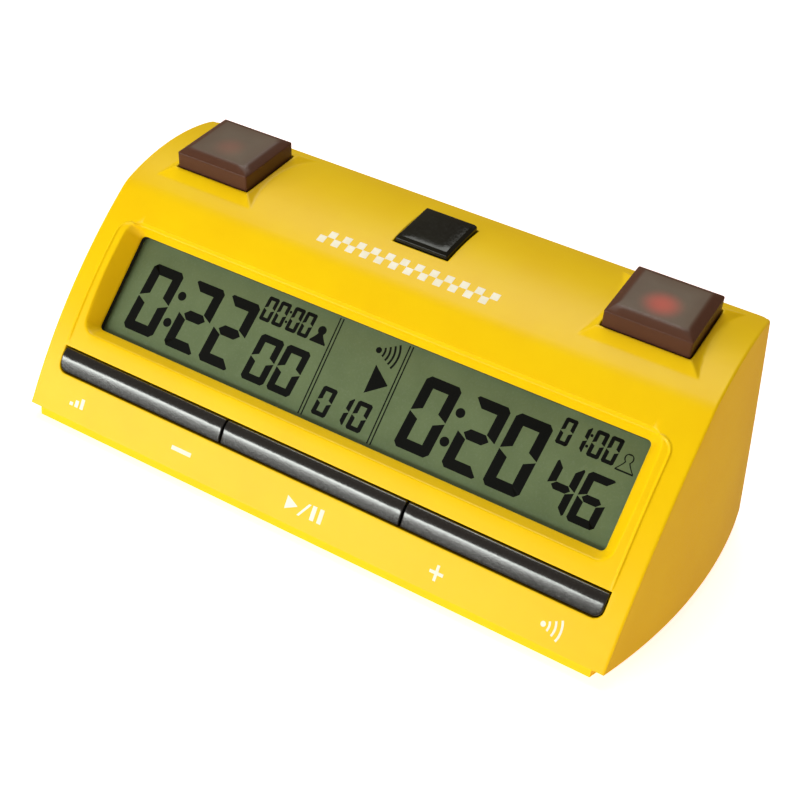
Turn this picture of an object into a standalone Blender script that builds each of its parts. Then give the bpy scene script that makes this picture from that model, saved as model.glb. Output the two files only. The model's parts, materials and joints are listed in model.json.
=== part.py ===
"""Digital chess clock: a yellow wedge with a long display, two push buttons and a row of keys.

Metres, +Z up. The clock stands on z = 0 and faces -Y, and the origin is under its middle.
Four tilted empties carry what lies on the housing's slopes: in each, x runs along the clock,
y up the slope and z straight out of the surface.
"""

import math

import bmesh
import bpy
from mathutils import Matrix, Vector

# Clearances
GAP = 0.0003  # between two pieces that touch
RUNNING_GAP = 0.0004  # round a piece that moves in an opening
PILOT_GAP = 0.0003  # round a screw's shank in its boss
OVERCUT = 0.0010  # how far a cutter runs past the face it opens, or a joined block into its neighbour
TINY = 0.00001  # points this close are one point

# Housing: outside
FACE_WIDTH = 0.1587  # along the front foot and along both edges of the deck
BULGE = 0.00815  # how far each side wall stands out at the floor, beyond the deck's edge
BULGE_DEPTH = 0.0527  # from the front foot to where it stands out most
BODY_DEPTH = 0.0788  # front foot to the foot of the back
FOOT_DROP = 0.0012  # table to the base plate
LIP_HEIGHT = 0.0026  # base plate's visible edge
RIDGE_DEPTH = 0.0363  # front foot to the ridge between face and deck
RIDGE_HEIGHT = 0.0495  # of the ridge over the shell's lower edge
FACE_RADIUS = 0.1403
DECK_BACK_DEPTH = 0.0738
DECK_BACK_HEIGHT = 0.0549
DECK_RADIUS = 0.0600
CORNER_RADIUS = 0.0025  # upright corners at the back
LEAST_CORNER = 0.0010  # of the plates inside it
SHELL_WALL = 0.0022

# Display
FACE_ANGLE = math.radians(50)
WINDOW_WIDTH = 0.1386
WINDOW_HEIGHT = 0.0261
WINDOW_DEPTH = 0.0226  # window centre, from the front foot
WINDOW_RISE = 0.0293  # window centre, over the shell's lower edge
WINDOW_BEVEL_SLOPE = 0.72  # outward run of the window's chamfer for each metre of its rise
WINDOW_CORNER = 0.0012
WINDOW_FOOT = 0.0002  # sheer edge below the chamfer
GLASS_SINK = 0.0018  # display surface below the chamfer's foot
LCD_MARGIN = 0.0016  # glass hidden behind the window's rim, on each side
POLARIZER_THICKNESS = 0.0004
LCD_THICKNESS = 0.0024
LCD_FRAME_WALL = 0.0014
DISPLAY_COVER = 0.0100  # from the glass to clear of the housing's face
CONNECTOR_WIDTH = 0.0018
CONNECTOR_HEIGHT = 0.0012
CONNECTOR_INSET = 0.0040  # at each end
BOARD_THICKNESS = 0.0016
MAIN_BOARD_LOW = 0.0268  # below the window centre, along the slope
MAIN_BOARD_HIGH = 0.0215  # above it
BOARD_SCREW_INSET = 0.0025  # from the board's upper edge
TOP_BOARD_SCREWS = (-0.058, 0.0, 0.058)
LOW_BOARD_SCREWS = (-0.0248, 0.0248)
LOW_BOARD_SCREW_Y = -0.0245

# Keys
KEY_ROW_WIDTH = 0.1491
KEY_ROW_HEIGHT = 0.0068
KEY_ROW_RISE = 0.0124  # row centre, over the shell's lower edge
KEY_SLOT_CORNER = 0.0024
KEY_PROUD = 0.0005
KEY_CROWN = 0.0009  # how far the convex top falls to its long edges
KEY_DEPTH = 0.0042  # outer surface to the key's underside
KEY_GAP = 0.0005  # from one key to the next
KEY_TRAVEL = 0.0006  # of each stem
KEY_FLANGE = 0.0009  # catches behind the slot, above and below
KEY_FLANGE_THICKNESS = 0.0008
KEY_FLANGE_DROP = 0.0004  # below the key's underside
KEY_FLANGE_INSET = 0.0040  # from each end of the key
KEY_STEM_RADIUS = 0.0011
KEY_STEM_LENGTH = 0.0014
KEY_STEM_SPREAD = 0.0175  # of a rocker's two stems from its middle
BRACKET_CLEARANCE = 0.0011  # under the flange, for the keys to rock in
BRACKET_THICKNESS = 0.0009
BRACKET_HEIGHT = 0.0084
FULCRUM_WIDTH = 0.0012
KEY_SWITCH_SIDE = 0.0045

# Push buttons
BUTTON_WIDTH = 0.0211
BUTTON_LENGTH = 0.0204
BUTTON_SPACING = 0.1174  # between the two push buttons' centres
BUTTON_DEPTH = 0.0547  # centre, from the front foot
BUTTON_RISE = 0.0556  # pedestal top, over the shell's lower edge
BUTTON_TILT = math.radians(8.8)
BUTTON_SIDE = 0.0039  # upright side that shows
BUTTON_CHAMFER_RISE = 0.0013
BUTTON_CHAMFER_RUN = 0.0021
BUTTON_CAP_WALL = 0.0016
BUTTON_SKIRT = 0.0031  # cap below the pedestal's top
BUTTON_TRAVEL = 0.0025
BUTTON_CATCH = 0.0014  # carrier beyond the cap, all round
CARRIER_THICKNESS = 0.0016
LED_HOLE_RADIUS = 0.0034
PLUNGER_RADIUS = 0.0014
PLUNGER_OFFSET = 0.0082  # behind the button's centre
PEDESTAL_RIM = 0.0004
PEDESTAL_SLOPE = 1.65  # outward run for each metre of fall
PEDESTAL_SKIRT = 0.0046
SPRING_RADIUS = 0.0044
SPRING_WIRE = 0.0003
SPRING_TURNS = 5
SPRING_FLAT = 0.7  # share of a turn that lies flat at each end of a coil
BOARD_BELOW_PEDESTAL = 0.0140
BUTTON_BOARD_WIDTH = 0.1440
BUTTON_BOARD_LENGTH = 0.0250
BUTTON_BOARD_SCREW_X = 0.0340

# Middle button
MIDDLE_WIDTH = 0.0144
MIDDLE_LENGTH = 0.0154
MIDDLE_DEPTH = 0.0555
MIDDLE_PROUD = 0.0012
MIDDLE_CHAMFER = 0.0007
MIDDLE_BODY = 0.0058
MIDDLE_TRAVEL = 0.0010
MIDDLE_CATCH = 0.0010

# Parts on the boards
TACT_SIDE = 0.0060
TACT_HEIGHT = 0.0034
TACT_KNOB_RADIUS = 0.0016
TACT_KNOB_HEIGHT = 0.0012
LED_RADIUS = 0.0015
LED_COLLAR_RADIUS = 0.0020
LED_BODY = 0.0032  # dome and barrel above the collar
LED_TOP_CLEARANCE = 0.0006  # how far the dome stands into the carrier's eye at full travel
CHIP_RADIUS = 0.0065
CHIP_HEIGHT = 0.0016
CRYSTAL_RADIUS = 0.0016
CRYSTAL_LENGTH = 0.0080
CHIP_AT = (0.020, 0.004)  # from the window centre
CRYSTAL_AT = (0.036, 0.004)

# Base plate
BASE_SIDE_INSET = 0.0030
BASE_FRONT_INSET = 0.0004
UPSTAND_HEIGHT = 0.0030
UPSTAND_WALL = 0.0014
UPSTAND_INSET = 0.0016  # from the shell's inner wall
UPSTAND_FRONT_INSET = 0.0012  # more at the front, where that wall leans back
FOOT_RADIUS = 0.0050
FOOT_SINK = 0.0008
FOOT_BEVEL = 0.0004
FOOT_EDGE_X = 0.0130  # foot centre in from the front corner
FOOT_EDGE_Y = 0.0110

# Housing screws
SCREW_EDGE_X = 0.00275  # screws in from the deck's edge
SCREW_FRONT_DEPTH = 0.0215
SCREW_BACK_DEPTH = 0.0665
SCREW_BOSS_RADIUS = 0.0033
SCREW_BOSS_START = 0.0040  # over the shell's lower edge
SCREW_SHANK_RADIUS = 0.0012
SCREW_HEAD_RADIUS = 0.0025
SCREW_HEAD_HEIGHT = 0.0016
SCREW_LENGTH = 0.0120
SCREW_TOWER_WALL = 0.0012
SMALL_SCREW_SHANK = 0.0009
SMALL_SCREW_HEAD = 0.0018
SMALL_SCREW_HEAD_HEIGHT = 0.0011
SMALL_SCREW_LENGTH = 0.0050
SMALL_BOSS_RADIUS = 0.0023

# Battery bay
CELL_RADIUS = 0.00725
CELL_LENGTH = 0.0500
CELL_NUB_RADIUS = 0.0027
CELL_NUB_LENGTH = 0.0011
CELL_SPACING = 0.0150
BAY_DEPTH = 0.0535  # bay centre, from the front foot
BAY_LENGTH = 0.0580
BAY_WIDTH = 0.0304
BAY_HEIGHT = 0.0158  # over the door
BAY_WALL = 0.0016
CONTACT_THICKNESS = 0.0005
CONTACT_SPRING_RADIUS = 0.0032
CONTACT_SPRING_WIRE = 0.00025
CONTACT_SPRING_TURNS = 3
CONTACT_SPRING_TAPER = 0.55
DOOR_THICKNESS = 0.0017
DOOR_TONGUE = 0.0013
DOOR_TONGUE_THICKNESS = 0.0009
RAIL_INSET = 0.0008  # the rails' end in from the plate's back edge
DOOR_GRIP_COUNT = 4
DOOR_GRIP_PITCH = 0.0022
DOOR_GRIP_WIDTH = 0.0010
DOOR_GRIP_SINK = 0.0005
DOOR_GRIP_LENGTH = 0.0160
DOOR_GRIP_START = 0.0050  # from the door's rear edge

# Power switch and buzzer
POWER_X = 0.0560
POWER_DEPTH = 0.0450
POWER_TRAVEL = 0.0030
POWER_KNOB = (0.0030, 0.0034)
POWER_BODY = (0.0120, 0.0064, 0.0045)
POWER_BODY_RISE = 0.0015  # over the base plate
POWER_KNOB_ROOT = 0.0012  # knob inside the switch's body
BUZZER_X = -0.0560
BUZZER_RADIUS = 0.0115
BUZZER_HEIGHT = 0.0035
BUZZER_WALL = 0.0012
BUZZER_PLATE = 0.0010
SOUND_HOLE_RADIUS = 0.0009
SOUND_HOLE_RING = 0.0045
SOUND_HOLE_COUNT = 6

# Ribbon cable between the two boards
RIBBON_X = -0.0300
RIBBON_WIDTH = 0.0120
RIBBON_THICKNESS = 0.0004
RIBBON_BEND_RADIUS = 0.0070
RIBBON_FROM_MAIN_TOP = 0.0080  # where it leaves the main board, from the board's upper edge
RIBBON_FROM_BUTTON_FRONT = 0.0060  # and the button board, from its front edge

# Worked out from the sizes above
FRONT_Y = -BODY_DEPTH / 2
EDGE_Z = FOOT_DROP + LIP_HEIGHT
FRONT_FOOT = Vector((FRONT_Y, EDGE_Z))
RIDGE = FRONT_FOOT + Vector((RIDGE_DEPTH, RIDGE_HEIGHT))
DECK_BACK = FRONT_FOOT + Vector((DECK_BACK_DEPTH, DECK_BACK_HEIGHT))
BACK_FOOT = FRONT_FOOT + Vector((BODY_DEPTH, 0))
BULGE_RADIUS = (BULGE_DEPTH**2 + BULGE**2) / (2 * BULGE)
BASE_TOP = EDGE_Z - GAP
LCD_HALF_WIDTH = WINDOW_WIDTH / 2 + LCD_MARGIN
LCD_HALF_HEIGHT = WINDOW_HEIGHT / 2 + LCD_MARGIN
BEZEL_TOP = -WINDOW_FOOT - GAP  # of the black frame's ledge, which holds the glass down
BEZEL_BOTTOM = -GLASS_SINK + GAP
LCD_TOP = -GLASS_SINK - POLARIZER_THICKNESS - GAP
LCD_BOTTOM = LCD_TOP - LCD_THICKNESS
MAIN_BOARD_TOP = LCD_BOTTOM - 2 * GAP - CONNECTOR_HEIGHT
BUTTON_BOARD_TOP = -BOARD_BELOW_PEDESTAL
CARRIER_TOP = -BUTTON_SKIRT - GAP
CARRIER_BOTTOM = CARRIER_TOP - CARRIER_THICKNESS
SMALL_PILOT_DEPTH = SMALL_SCREW_LENGTH - BOARD_THICKNESS  # over a board's top, just past the tip
SCREW_LEDGE = EDGE_Z + SCREW_BOSS_START - GAP - SCREW_TOWER_WALL  # the screw heads press on it
KEY_UNDER = KEY_PROUD - KEY_DEPTH
FLANGE_UNDER = KEY_UNDER - KEY_FLANGE_DROP
DOOR_TOP = FOOT_DROP + DOOR_THICKNESS
BAY_FLOOR = DOOR_TOP + GAP
BAY_BACK_Y = FRONT_Y + BAY_DEPTH + BAY_WIDTH / 2
BAY_FRONT_Y = FRONT_Y + BAY_DEPTH - BAY_WIDTH / 2
DOOR_HALF_WIDTH = BAY_LENGTH / 2
CELL_Z = BAY_FLOOR + CELL_RADIUS + GAP


# ---------------------------------------------------------------- scene and materials


def clear_scene():
    for obj in list(bpy.data.objects):
        bpy.data.objects.remove(obj, do_unlink=True)
    for collection in list(bpy.data.collections):
        bpy.data.collections.remove(collection)


clear_scene()
CLOCK = bpy.data.collections.new("chess_clock")
CUTTERS = bpy.data.collections.new("cutters")
for made in (CLOCK, CUTTERS):
    bpy.context.scene.collection.children.link(made)


def material(name, colour, roughness, metallic=0.0, alpha=1.0):
    made = bpy.data.materials.new(name)
    made.use_nodes = True
    shader = made.node_tree.nodes["Principled BSDF"]
    shader.inputs["Base Color"].default_value = (*colour, 1.0)
    shader.inputs["Roughness"].default_value = roughness
    shader.inputs["Metallic"].default_value = metallic
    shader.inputs["Alpha"].default_value = alpha
    made.diffuse_color = (*colour, alpha)
    return made


YELLOW_ABS = material("yellow_abs", (0.90, 0.62, 0.01), 0.38)
BLACK_ABS = material("black_abs", (0.018, 0.019, 0.021), 0.42)
GLOSS_BLACK = material("gloss_black_abs", (0.010, 0.010, 0.011), 0.15)
SMOKED = material("smoked_polycarbonate", (0.10, 0.06, 0.05), 0.20, alpha=0.8)
RUBBER = material("rubber", (0.03, 0.03, 0.03), 0.85)
STEEL = material("zinc_steel", (0.62, 0.62, 0.62), 0.35, 1.0)
NICKEL = material("nickel_contact", (0.70, 0.68, 0.62), 0.30, 1.0)
LCD_GREEN = material("lcd_film", (0.20, 0.26, 0.18), 0.30)
GLASS = material("lcd_glass", (0.24, 0.30, 0.24), 0.10)
ELASTOMER = material("silicone_elastomer", (0.75, 0.72, 0.65), 0.70)
BOARD = material("fibreglass_board", (0.03, 0.17, 0.06), 0.45)
EPOXY = material("black_epoxy", (0.015, 0.015, 0.015), 0.25)
TIN = material("tin_can", (0.75, 0.75, 0.76), 0.30, 1.0)
BRASS = material("buzzer_brass", (0.72, 0.52, 0.22), 0.35, 1.0)
RED_EPOXY = material("red_led_epoxy", (0.60, 0.02, 0.02), 0.20)
CELL_WRAP = material("cell_wrap", (0.06, 0.08, 0.16), 0.35)
RIBBON = material("grey_ribbon", (0.45, 0.45, 0.47), 0.60)


# ---------------------------------------------------------------- shape helpers


def box(size, centre=(0, 0, 0)):
    bm = bmesh.new()
    bmesh.ops.create_cube(bm, size=1)
    bmesh.ops.scale(bm, vec=size, verts=bm.verts)
    bmesh.ops.translate(bm, vec=centre, verts=bm.verts)
    return bm


def box_between(low, high):
    low, high = Vector(low), Vector(high)
    return box(high - low, (low + high) / 2)


def cylinder(radius, low, high, at=(0, 0), sides=24, top_radius=None):
    """A cylinder or cone along z, from low to high."""
    bm = bmesh.new()
    bmesh.ops.create_cone(
        bm,
        cap_ends=True,
        segments=sides,
        radius1=radius,
        radius2=radius if top_radius is None else top_radius,
        depth=high - low,
        matrix=Matrix.Translation((at[0], at[1], (low + high) / 2)),
    )
    return bm


def frustum(half_low, half_high, low, high):
    """A four-sided block whose half sides are half_low at its foot and half_high at its top."""
    bm = box_between((-half_low[0], -half_low[1], low), (half_low[0], half_low[1], high))
    scale = (half_high[0] / half_low[0], half_high[1] / half_low[1], 1)
    bmesh.ops.scale(bm, vec=scale, verts=[v for v in bm.verts if v.co.z > (low + high) / 2])
    return bm


def bevel_edges(bm, chosen, width, segments=2):
    """Rounds the edges whose middle passes the test."""
    edges = [e for e in bm.edges if chosen((e.verts[0].co + e.verts[1].co) / 2, e)]
    bmesh.ops.bevel(
        bm, geom=edges, offset=width, offset_type="OFFSET", segments=segments, profile=0.5,
        affect="EDGES", clamp_overlap=True,
    )
    return bm


def upright(_, edge):
    along = (edge.verts[0].co - edge.verts[1].co).normalized()
    return abs(along.z) > 0.6


def new_object(name, bm, look=None, parent=None, place=(0, 0, 0), turn=(0, 0, 0)):
    """An object in the clock, or a cutter where it has no look."""
    mesh = bpy.data.meshes.new(name)
    bmesh.ops.recalc_face_normals(bm, faces=bm.faces)
    bm.to_mesh(mesh)
    bm.free()
    obj = bpy.data.objects.new(name, mesh)
    (CLOCK if look else CUTTERS).objects.link(obj)
    obj.location = place
    obj.rotation_euler = turn
    obj.parent = parent
    if look:
        mesh.materials.append(look)
    else:
        obj.hide_render = True
        obj.display_type = "WIRE"
    return obj


def combine(target, other, operation):
    modifier = target.modifiers.new(f"{operation.lower()} {other.name}", "BOOLEAN")
    modifier.operation = operation
    modifier.solver = "EXACT"
    modifier.object = other


def cut(target, *others):
    for other in others:
        combine(target, other, "DIFFERENCE")


def unite(target, *others):
    for other in others:
        combine(target, other, "UNION")


def smooth(obj, degrees=35):
    obj.data.shade_smooth()
    obj.data.set_sharp_from_angle(angle=math.radians(degrees))
    return obj


def empty(name, place, tilt):
    obj = bpy.data.objects.new(name, None)
    obj.location = place
    obj.rotation_euler = (tilt, 0, 0)
    obj.empty_display_size = 0.01
    CLOCK.objects.link(obj)
    return obj


def turned(name, profile, look, parent=None, place=(0, 0, 0), turn=(0, 0, 0), steps=24):
    """A round piece: the profile's (radius, z) points, top to bottom, turned about z."""
    bm = bmesh.new()
    ring = [bm.verts.new((radius, 0, z)) for radius, z in profile]
    for start, end in zip(ring, ring[1:]):
        bm.edges.new((start, end))
    mesh = bpy.data.meshes.new(name)
    bm.to_mesh(mesh)
    bm.free()
    obj = bpy.data.objects.new(name, mesh)
    CLOCK.objects.link(obj)
    obj.location = place
    obj.rotation_euler = turn
    obj.parent = parent
    mesh.materials.append(look)
    screw = obj.modifiers.new("turned", "SCREW")
    screw.axis = "Z"
    screw.steps = steps
    screw.render_steps = steps
    screw.use_merge_vertices = True
    screw.merge_threshold = TINY
    return obj


def tube(name, points, radius, look, parent=None, closed_ends=True, resolution=2):
    """A round wire along the points."""
    curve = bpy.data.curves.new(name, "CURVE")
    curve.dimensions = "3D"
    curve.bevel_depth = radius
    curve.bevel_resolution = resolution
    curve.use_fill_caps = closed_ends
    spline = curve.splines.new("POLY")
    spline.points.add(len(points) - 1)
    for point, place in zip(spline.points, points):
        point.co = (*place, 1)
    curve.materials.append(look)
    obj = bpy.data.objects.new(name, curve)
    obj.parent = parent
    CLOCK.objects.link(obj)
    return obj


def coil_points(radius_low, radius_high, low, high, turns, per_turn=12):
    """A helix that lies flat for SPRING_FLAT of a turn at each end and climbs evenly between."""
    count = turns * per_turn
    points = []
    for i in range(count + 1):
        turn = i / per_turn
        share = min(max((turn - SPRING_FLAT) / (turns - 2 * SPRING_FLAT), 0), 1)
        radius = radius_low + (radius_high - radius_low) * share
        angle = 2 * math.pi * turn
        points.append(
            (radius * math.cos(angle), radius * math.sin(angle), low + (high - low) * share)
        )
    return points


# ---------------------------------------------------------------- the housing's surfaces


def arc_centre(start, end, radius):
    """Centre of the arc of this radius from start to end that bulges up and forward."""
    along = (end - start).normalized()
    reach = math.sqrt(radius**2 - ((end - start).length / 2) ** 2)
    return (start + end) / 2 + Vector((along.y, -along.x)) * reach


FACE_CENTRE = arc_centre(FRONT_FOOT, RIDGE, FACE_RADIUS)
DECK_CENTRE = arc_centre(RIDGE, DECK_BACK, DECK_RADIUS)


def face_y(z, inset=0.0):
    """Depth of the face at height z."""
    return FACE_CENTRE.x - math.sqrt((FACE_RADIUS - inset) ** 2 - (z - FACE_CENTRE.y) ** 2)


def face_z(y, inset=0.0):
    return FACE_CENTRE.y + math.sqrt((FACE_RADIUS - inset) ** 2 - (y - FACE_CENTRE.x) ** 2)


def deck_z(y, inset=0.0):
    """Height of the deck at depth y."""
    return DECK_CENTRE.y + math.sqrt((DECK_RADIUS - inset) ** 2 - (y - DECK_CENTRE.x) ** 2)


def ridge_y(inset=0.0):
    """Depth where the face and the deck, both moved in, meet: where their two circles cross."""
    between = DECK_CENTRE - FACE_CENTRE
    distance = between.length
    face, deck = FACE_RADIUS - inset, DECK_RADIUS - inset
    along = (distance**2 + face**2 - deck**2) / (2 * distance)
    across = math.sqrt(face**2 - along**2)
    unit = between / distance
    return (FACE_CENTRE + unit * along + Vector((unit.y, -unit.x)) * across).x


def roof_z(y):
    return face_z(y) if y < RIDGE.x else deck_z(y)


def floor_half_width(y):
    """Half width of the shell's lower edge, which bulges in plan."""
    ahead = y - FRONT_Y - BULGE_DEPTH
    return FACE_WIDTH / 2 + BULGE - BULGE_RADIUS + math.sqrt(BULGE_RADIUS**2 - ahead**2)


def half_width(y, z):
    """Half width outside, at depth y and height z: each wall leans in straight to the roof's edge."""
    height = roof_z(y) - EDGE_Z
    if height < GAP:
        return FACE_WIDTH / 2
    lean = (floor_half_width(y) - FACE_WIDTH / 2) / height
    return FACE_WIDTH / 2 + lean * (roof_z(y) - z)


def body(name, inset, floor, look=None, face_steps=14, deck_steps=10):
    """The housing's outline moved in by inset, as a solid: sections across the clock, front to back."""
    ridge = ridge_y(inset)
    front = face_y(floor, inset)
    behind = BACK_FOOT.x + CORNER_RADIUS
    stations = [front + (ridge - front) * (i / face_steps) ** 1.25 for i in range(face_steps + 1)]
    stations += [ridge + (behind - ridge) * i / deck_steps for i in range(1, deck_steps + 1)]
    bm = bmesh.new()
    rings = []
    for y in stations:
        top = face_z(y, inset) if y <= ridge else deck_z(y, inset)
        low, high = half_width(y, floor) - inset, half_width(y, top) - inset
        corners = ((-low, floor), (low, floor), (high, top), (-high, top))
        rings.append([bm.verts.new((x, y, z)) for x, z in corners])
    for near, far in zip(rings, rings[1:]):
        for i in range(4):
            bm.faces.new((near[i], near[(i + 1) % 4], far[(i + 1) % 4], far[i]))
    bm.faces.new(rings[0])
    bm.faces.new(rings[-1])
    bmesh.ops.remove_doubles(bm, verts=bm.verts, dist=TINY)
    lean = (DECK_BACK - BACK_FOOT).normalized()
    outward = Vector((0, lean.y, -lean.x))
    at = Vector((0, *BACK_FOOT)) - outward * inset
    cutting = bmesh.ops.bisect_plane(
        bm, geom=[*bm.verts, *bm.edges, *bm.faces], plane_co=at, plane_no=outward, clear_outer=True
    )
    rim = [e for e in cutting["geom_cut"] if isinstance(e, bmesh.types.BMEdge)]
    bmesh.ops.contextual_create(bm, geom=rim)
    bmesh.ops.recalc_face_normals(bm, faces=bm.faces)

    def back_corner(middle, edge):
        on_back = all(abs((v.co - at).dot(outward)) < TINY for v in edge.verts)
        return on_back and abs(edge.verts[0].co.z - edge.verts[1].co.z) > DECK_BACK_HEIGHT / 2

    bevel_edges(bm, back_corner, CORNER_RADIUS - inset, segments=4)
    return new_object(name, bm, look)


def floor_plate(name, side_inset, front_inset, low, high, look=None, steps=14):
    """A flat plate of the floor's outline moved in by side_inset, or front_inset at the front."""
    front, back = FRONT_Y + front_inset, BACK_FOOT.x - side_inset
    depths = [front + (back - front) * i / steps for i in range(steps + 1)]
    right = [(floor_half_width(y) - side_inset, y) for y in depths]
    outline = right + [(-x, y) for x, y in reversed(right)]
    bm = bmesh.new()
    face = bm.faces.new([bm.verts.new((x, y, low)) for x, y in outline])
    grown = bmesh.ops.extrude_face_region(bm, geom=[face])
    raised = [v for v in grown["geom"] if isinstance(v, bmesh.types.BMVert)]
    bmesh.ops.translate(bm, vec=(0, 0, high - low), verts=raised)
    bmesh.ops.recalc_face_normals(bm, faces=bm.faces)

    def back_corner(middle, edge):
        return upright(middle, edge) and middle.y > back - TINY

    bevel_edges(bm, back_corner, max(CORNER_RADIUS - side_inset, LEAST_CORNER), segments=3)
    return new_object(name, bm, look)


# ---------------------------------------------------------------- the slopes that carry the parts

KEY_Z = EDGE_Z + KEY_ROW_RISE
KEY_TILT = math.atan2(FACE_CENTRE.x - face_y(KEY_Z), KEY_Z - FACE_CENTRE.y)
DISPLAY_AT = Vector((0, FRONT_Y + WINDOW_DEPTH, EDGE_Z + WINDOW_RISE))
KEYS_AT = Vector((0, face_y(KEY_Z), KEY_Z))
BUTTONS_AT = Vector((0, FRONT_Y + BUTTON_DEPTH, EDGE_Z + BUTTON_RISE))
MIDDLE_Y = FRONT_Y + MIDDLE_DEPTH

DISPLAY = empty("display_slope", DISPLAY_AT, FACE_ANGLE)
KEYS = empty("key_slope", KEYS_AT, KEY_TILT)
BUTTONS = empty("button_slope", BUTTONS_AT, BUTTON_TILT)
MIDDLE = empty("middle_button_slope", (0, MIDDLE_Y, deck_z(MIDDLE_Y)), BUTTON_TILT)


def in_slope(point, slope_at, tilt):
    """A world point in a tilted empty's own axes."""
    return Matrix.Rotation(-tilt, 3, "X") @ (Vector(point) - Vector(slope_at))


MIDDLE_ON_BOARD = in_slope((0, MIDDLE_Y, deck_z(MIDDLE_Y)), BUTTONS_AT, BUTTON_TILT)
SIDES = {"left": -1, "right": 1}
SCREW_PLACES = [
    (side * (FACE_WIDTH / 2 - SCREW_EDGE_X), FRONT_Y + depth)
    for depth in (SCREW_FRONT_DEPTH, SCREW_BACK_DEPTH)
    for side in (-1, 1)
]


# ---------------------------------------------------------------- housing


def make_upper_shell():
    shell = body("upper_shell", 0.0, EDGE_Z, YELLOW_ABS)
    for side_name, side in SIDES.items():
        top = (
            BUTTON_WIDTH / 2 + RUNNING_GAP + PEDESTAL_RIM,
            BUTTON_LENGTH / 2 + RUNNING_GAP + PEDESTAL_RIM,
        )
        flare = PEDESTAL_SLOPE * PEDESTAL_SKIRT
        foot = (top[0] + flare, top[1] + flare)
        pedestal = new_object(
            f"{side_name}_pedestal", frustum(foot, top, -PEDESTAL_SKIRT, 0), parent=BUTTONS,
            place=(side * BUTTON_SPACING / 2, 0, 0),
        )
        unite(shell, pedestal)
    cut(shell, make_cavity())
    cut(shell, make_window_cutter(), make_key_slot_cutter())
    for side_name, side in SIDES.items():
        x, y = BUTTON_WIDTH / 2 + RUNNING_GAP, BUTTON_LENGTH / 2 + RUNNING_GAP
        hole = box_between((-x, -y, -BUTTON_SKIRT - OVERCUT), (x, y, OVERCUT))
        pocket = box_between(
            (-x - BUTTON_CATCH, -y - BUTTON_CATCH, BUTTON_BOARD_TOP),
            (x + BUTTON_CATCH, y + BUTTON_CATCH, -BUTTON_SKIRT),
        )
        place = (side * BUTTON_SPACING / 2, 0, 0)
        cut(shell, new_object(f"{side_name}_button_hole", hole, parent=BUTTONS, place=place))
        cut(shell, new_object(f"{side_name}_button_pocket", pocket, parent=BUTTONS, place=place))
    x, y = MIDDLE_WIDTH / 2 + RUNNING_GAP, MIDDLE_LENGTH / 2 + RUNNING_GAP
    middle_hole = box_between((-x, -y, -2 * SHELL_WALL), (x, y, OVERCUT))
    cut(shell, new_object("middle_button_hole", middle_hole, parent=MIDDLE))
    pilot = SCREW_SHANK_RADIUS + PILOT_GAP
    for i, place in enumerate(SCREW_PLACES, 1):
        low = EDGE_Z + SCREW_BOSS_START
        hole = cylinder(pilot, low - OVERCUT, low + SCREW_LENGTH, place, 12)
        cut(shell, new_object(f"housing_pilot_{i}", hole))
    small = SMALL_SCREW_SHANK + PILOT_GAP
    for i, x in enumerate(TOP_BOARD_SCREWS, 1):
        hole = cylinder(
            small, MAIN_BOARD_TOP - OVERCUT, MAIN_BOARD_TOP + SMALL_PILOT_DEPTH,
            (x, MAIN_BOARD_HIGH - BOARD_SCREW_INSET), 10,
        )
        cut(shell, new_object(f"board_pilot_{i}", hole, parent=DISPLAY))
    for side_name, side in SIDES.items():
        hole = cylinder(
            small, BUTTON_BOARD_TOP - OVERCUT, BUTTON_BOARD_TOP + SMALL_PILOT_DEPTH,
            (side * BUTTON_BOARD_SCREW_X, 0), 10,
        )
        cut(shell, new_object(f"{side_name}_board_pilot", hole, parent=BUTTONS))
    return smooth(shell, 30)


def make_cavity():
    """The hollow inside, with the window's rim and the screw bosses left standing in it."""
    cavity = body("cavity", SHELL_WALL, EDGE_Z - OVERCUT)
    rim = box_between(
        (-LCD_HALF_WIDTH, -LCD_HALF_HEIGHT, -WINDOW_FOOT),
        (LCD_HALF_WIDTH, LCD_HALF_HEIGHT, DISPLAY_COVER),
    )
    cut(cavity, new_object("window_rim", rim, parent=DISPLAY))
    for i, (x, y) in enumerate(SCREW_PLACES, 1):
        boss = cylinder(SCREW_BOSS_RADIUS, EDGE_Z + SCREW_BOSS_START, roof_z(y), (x, y), 18)
        cut(cavity, new_object(f"housing_boss_{i}", boss))
    for i, x in enumerate(TOP_BOARD_SCREWS, 1):
        boss = cylinder(
            SMALL_BOSS_RADIUS, MAIN_BOARD_TOP + GAP, DISPLAY_COVER,
            (x, MAIN_BOARD_HIGH - BOARD_SCREW_INSET), 14,
        )
        cut(cavity, new_object(f"board_boss_{i}", boss, parent=DISPLAY))
    for side_name, side in SIDES.items():
        boss = cylinder(
            SMALL_BOSS_RADIUS, BUTTON_BOARD_TOP + GAP, BUTTON_SIDE,
            (side * BUTTON_BOARD_SCREW_X, 0), 14,
        )
        cut(cavity, new_object(f"{side_name}_board_boss", boss, parent=BUTTONS))
    return cavity


def make_window_cutter():
    """The display opening: a short sheer foot, then four sides that slope outwards."""
    cutter = new_object("window_opening", window_block(-WINDOW_FOOT - OVERCUT, 0), parent=DISPLAY)
    half = (WINDOW_WIDTH / 2, WINDOW_HEIGHT / 2)
    run = WINDOW_BEVEL_SLOPE * DISPLAY_COVER
    slopes = frustum(half, (half[0] + run, half[1] + run), 0, DISPLAY_COVER)
    bevel_edges(slopes, upright, WINDOW_CORNER, 3)
    unite(cutter, new_object("window_slopes", slopes, parent=DISPLAY))
    return cutter


def window_block(low, high):
    """A block of the window's size with its rounded corners, from low to high."""
    half = (WINDOW_WIDTH / 2, WINDOW_HEIGHT / 2)
    return bevel_edges(frustum(half, half, low, high), upright, WINDOW_CORNER, 3)


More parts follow.
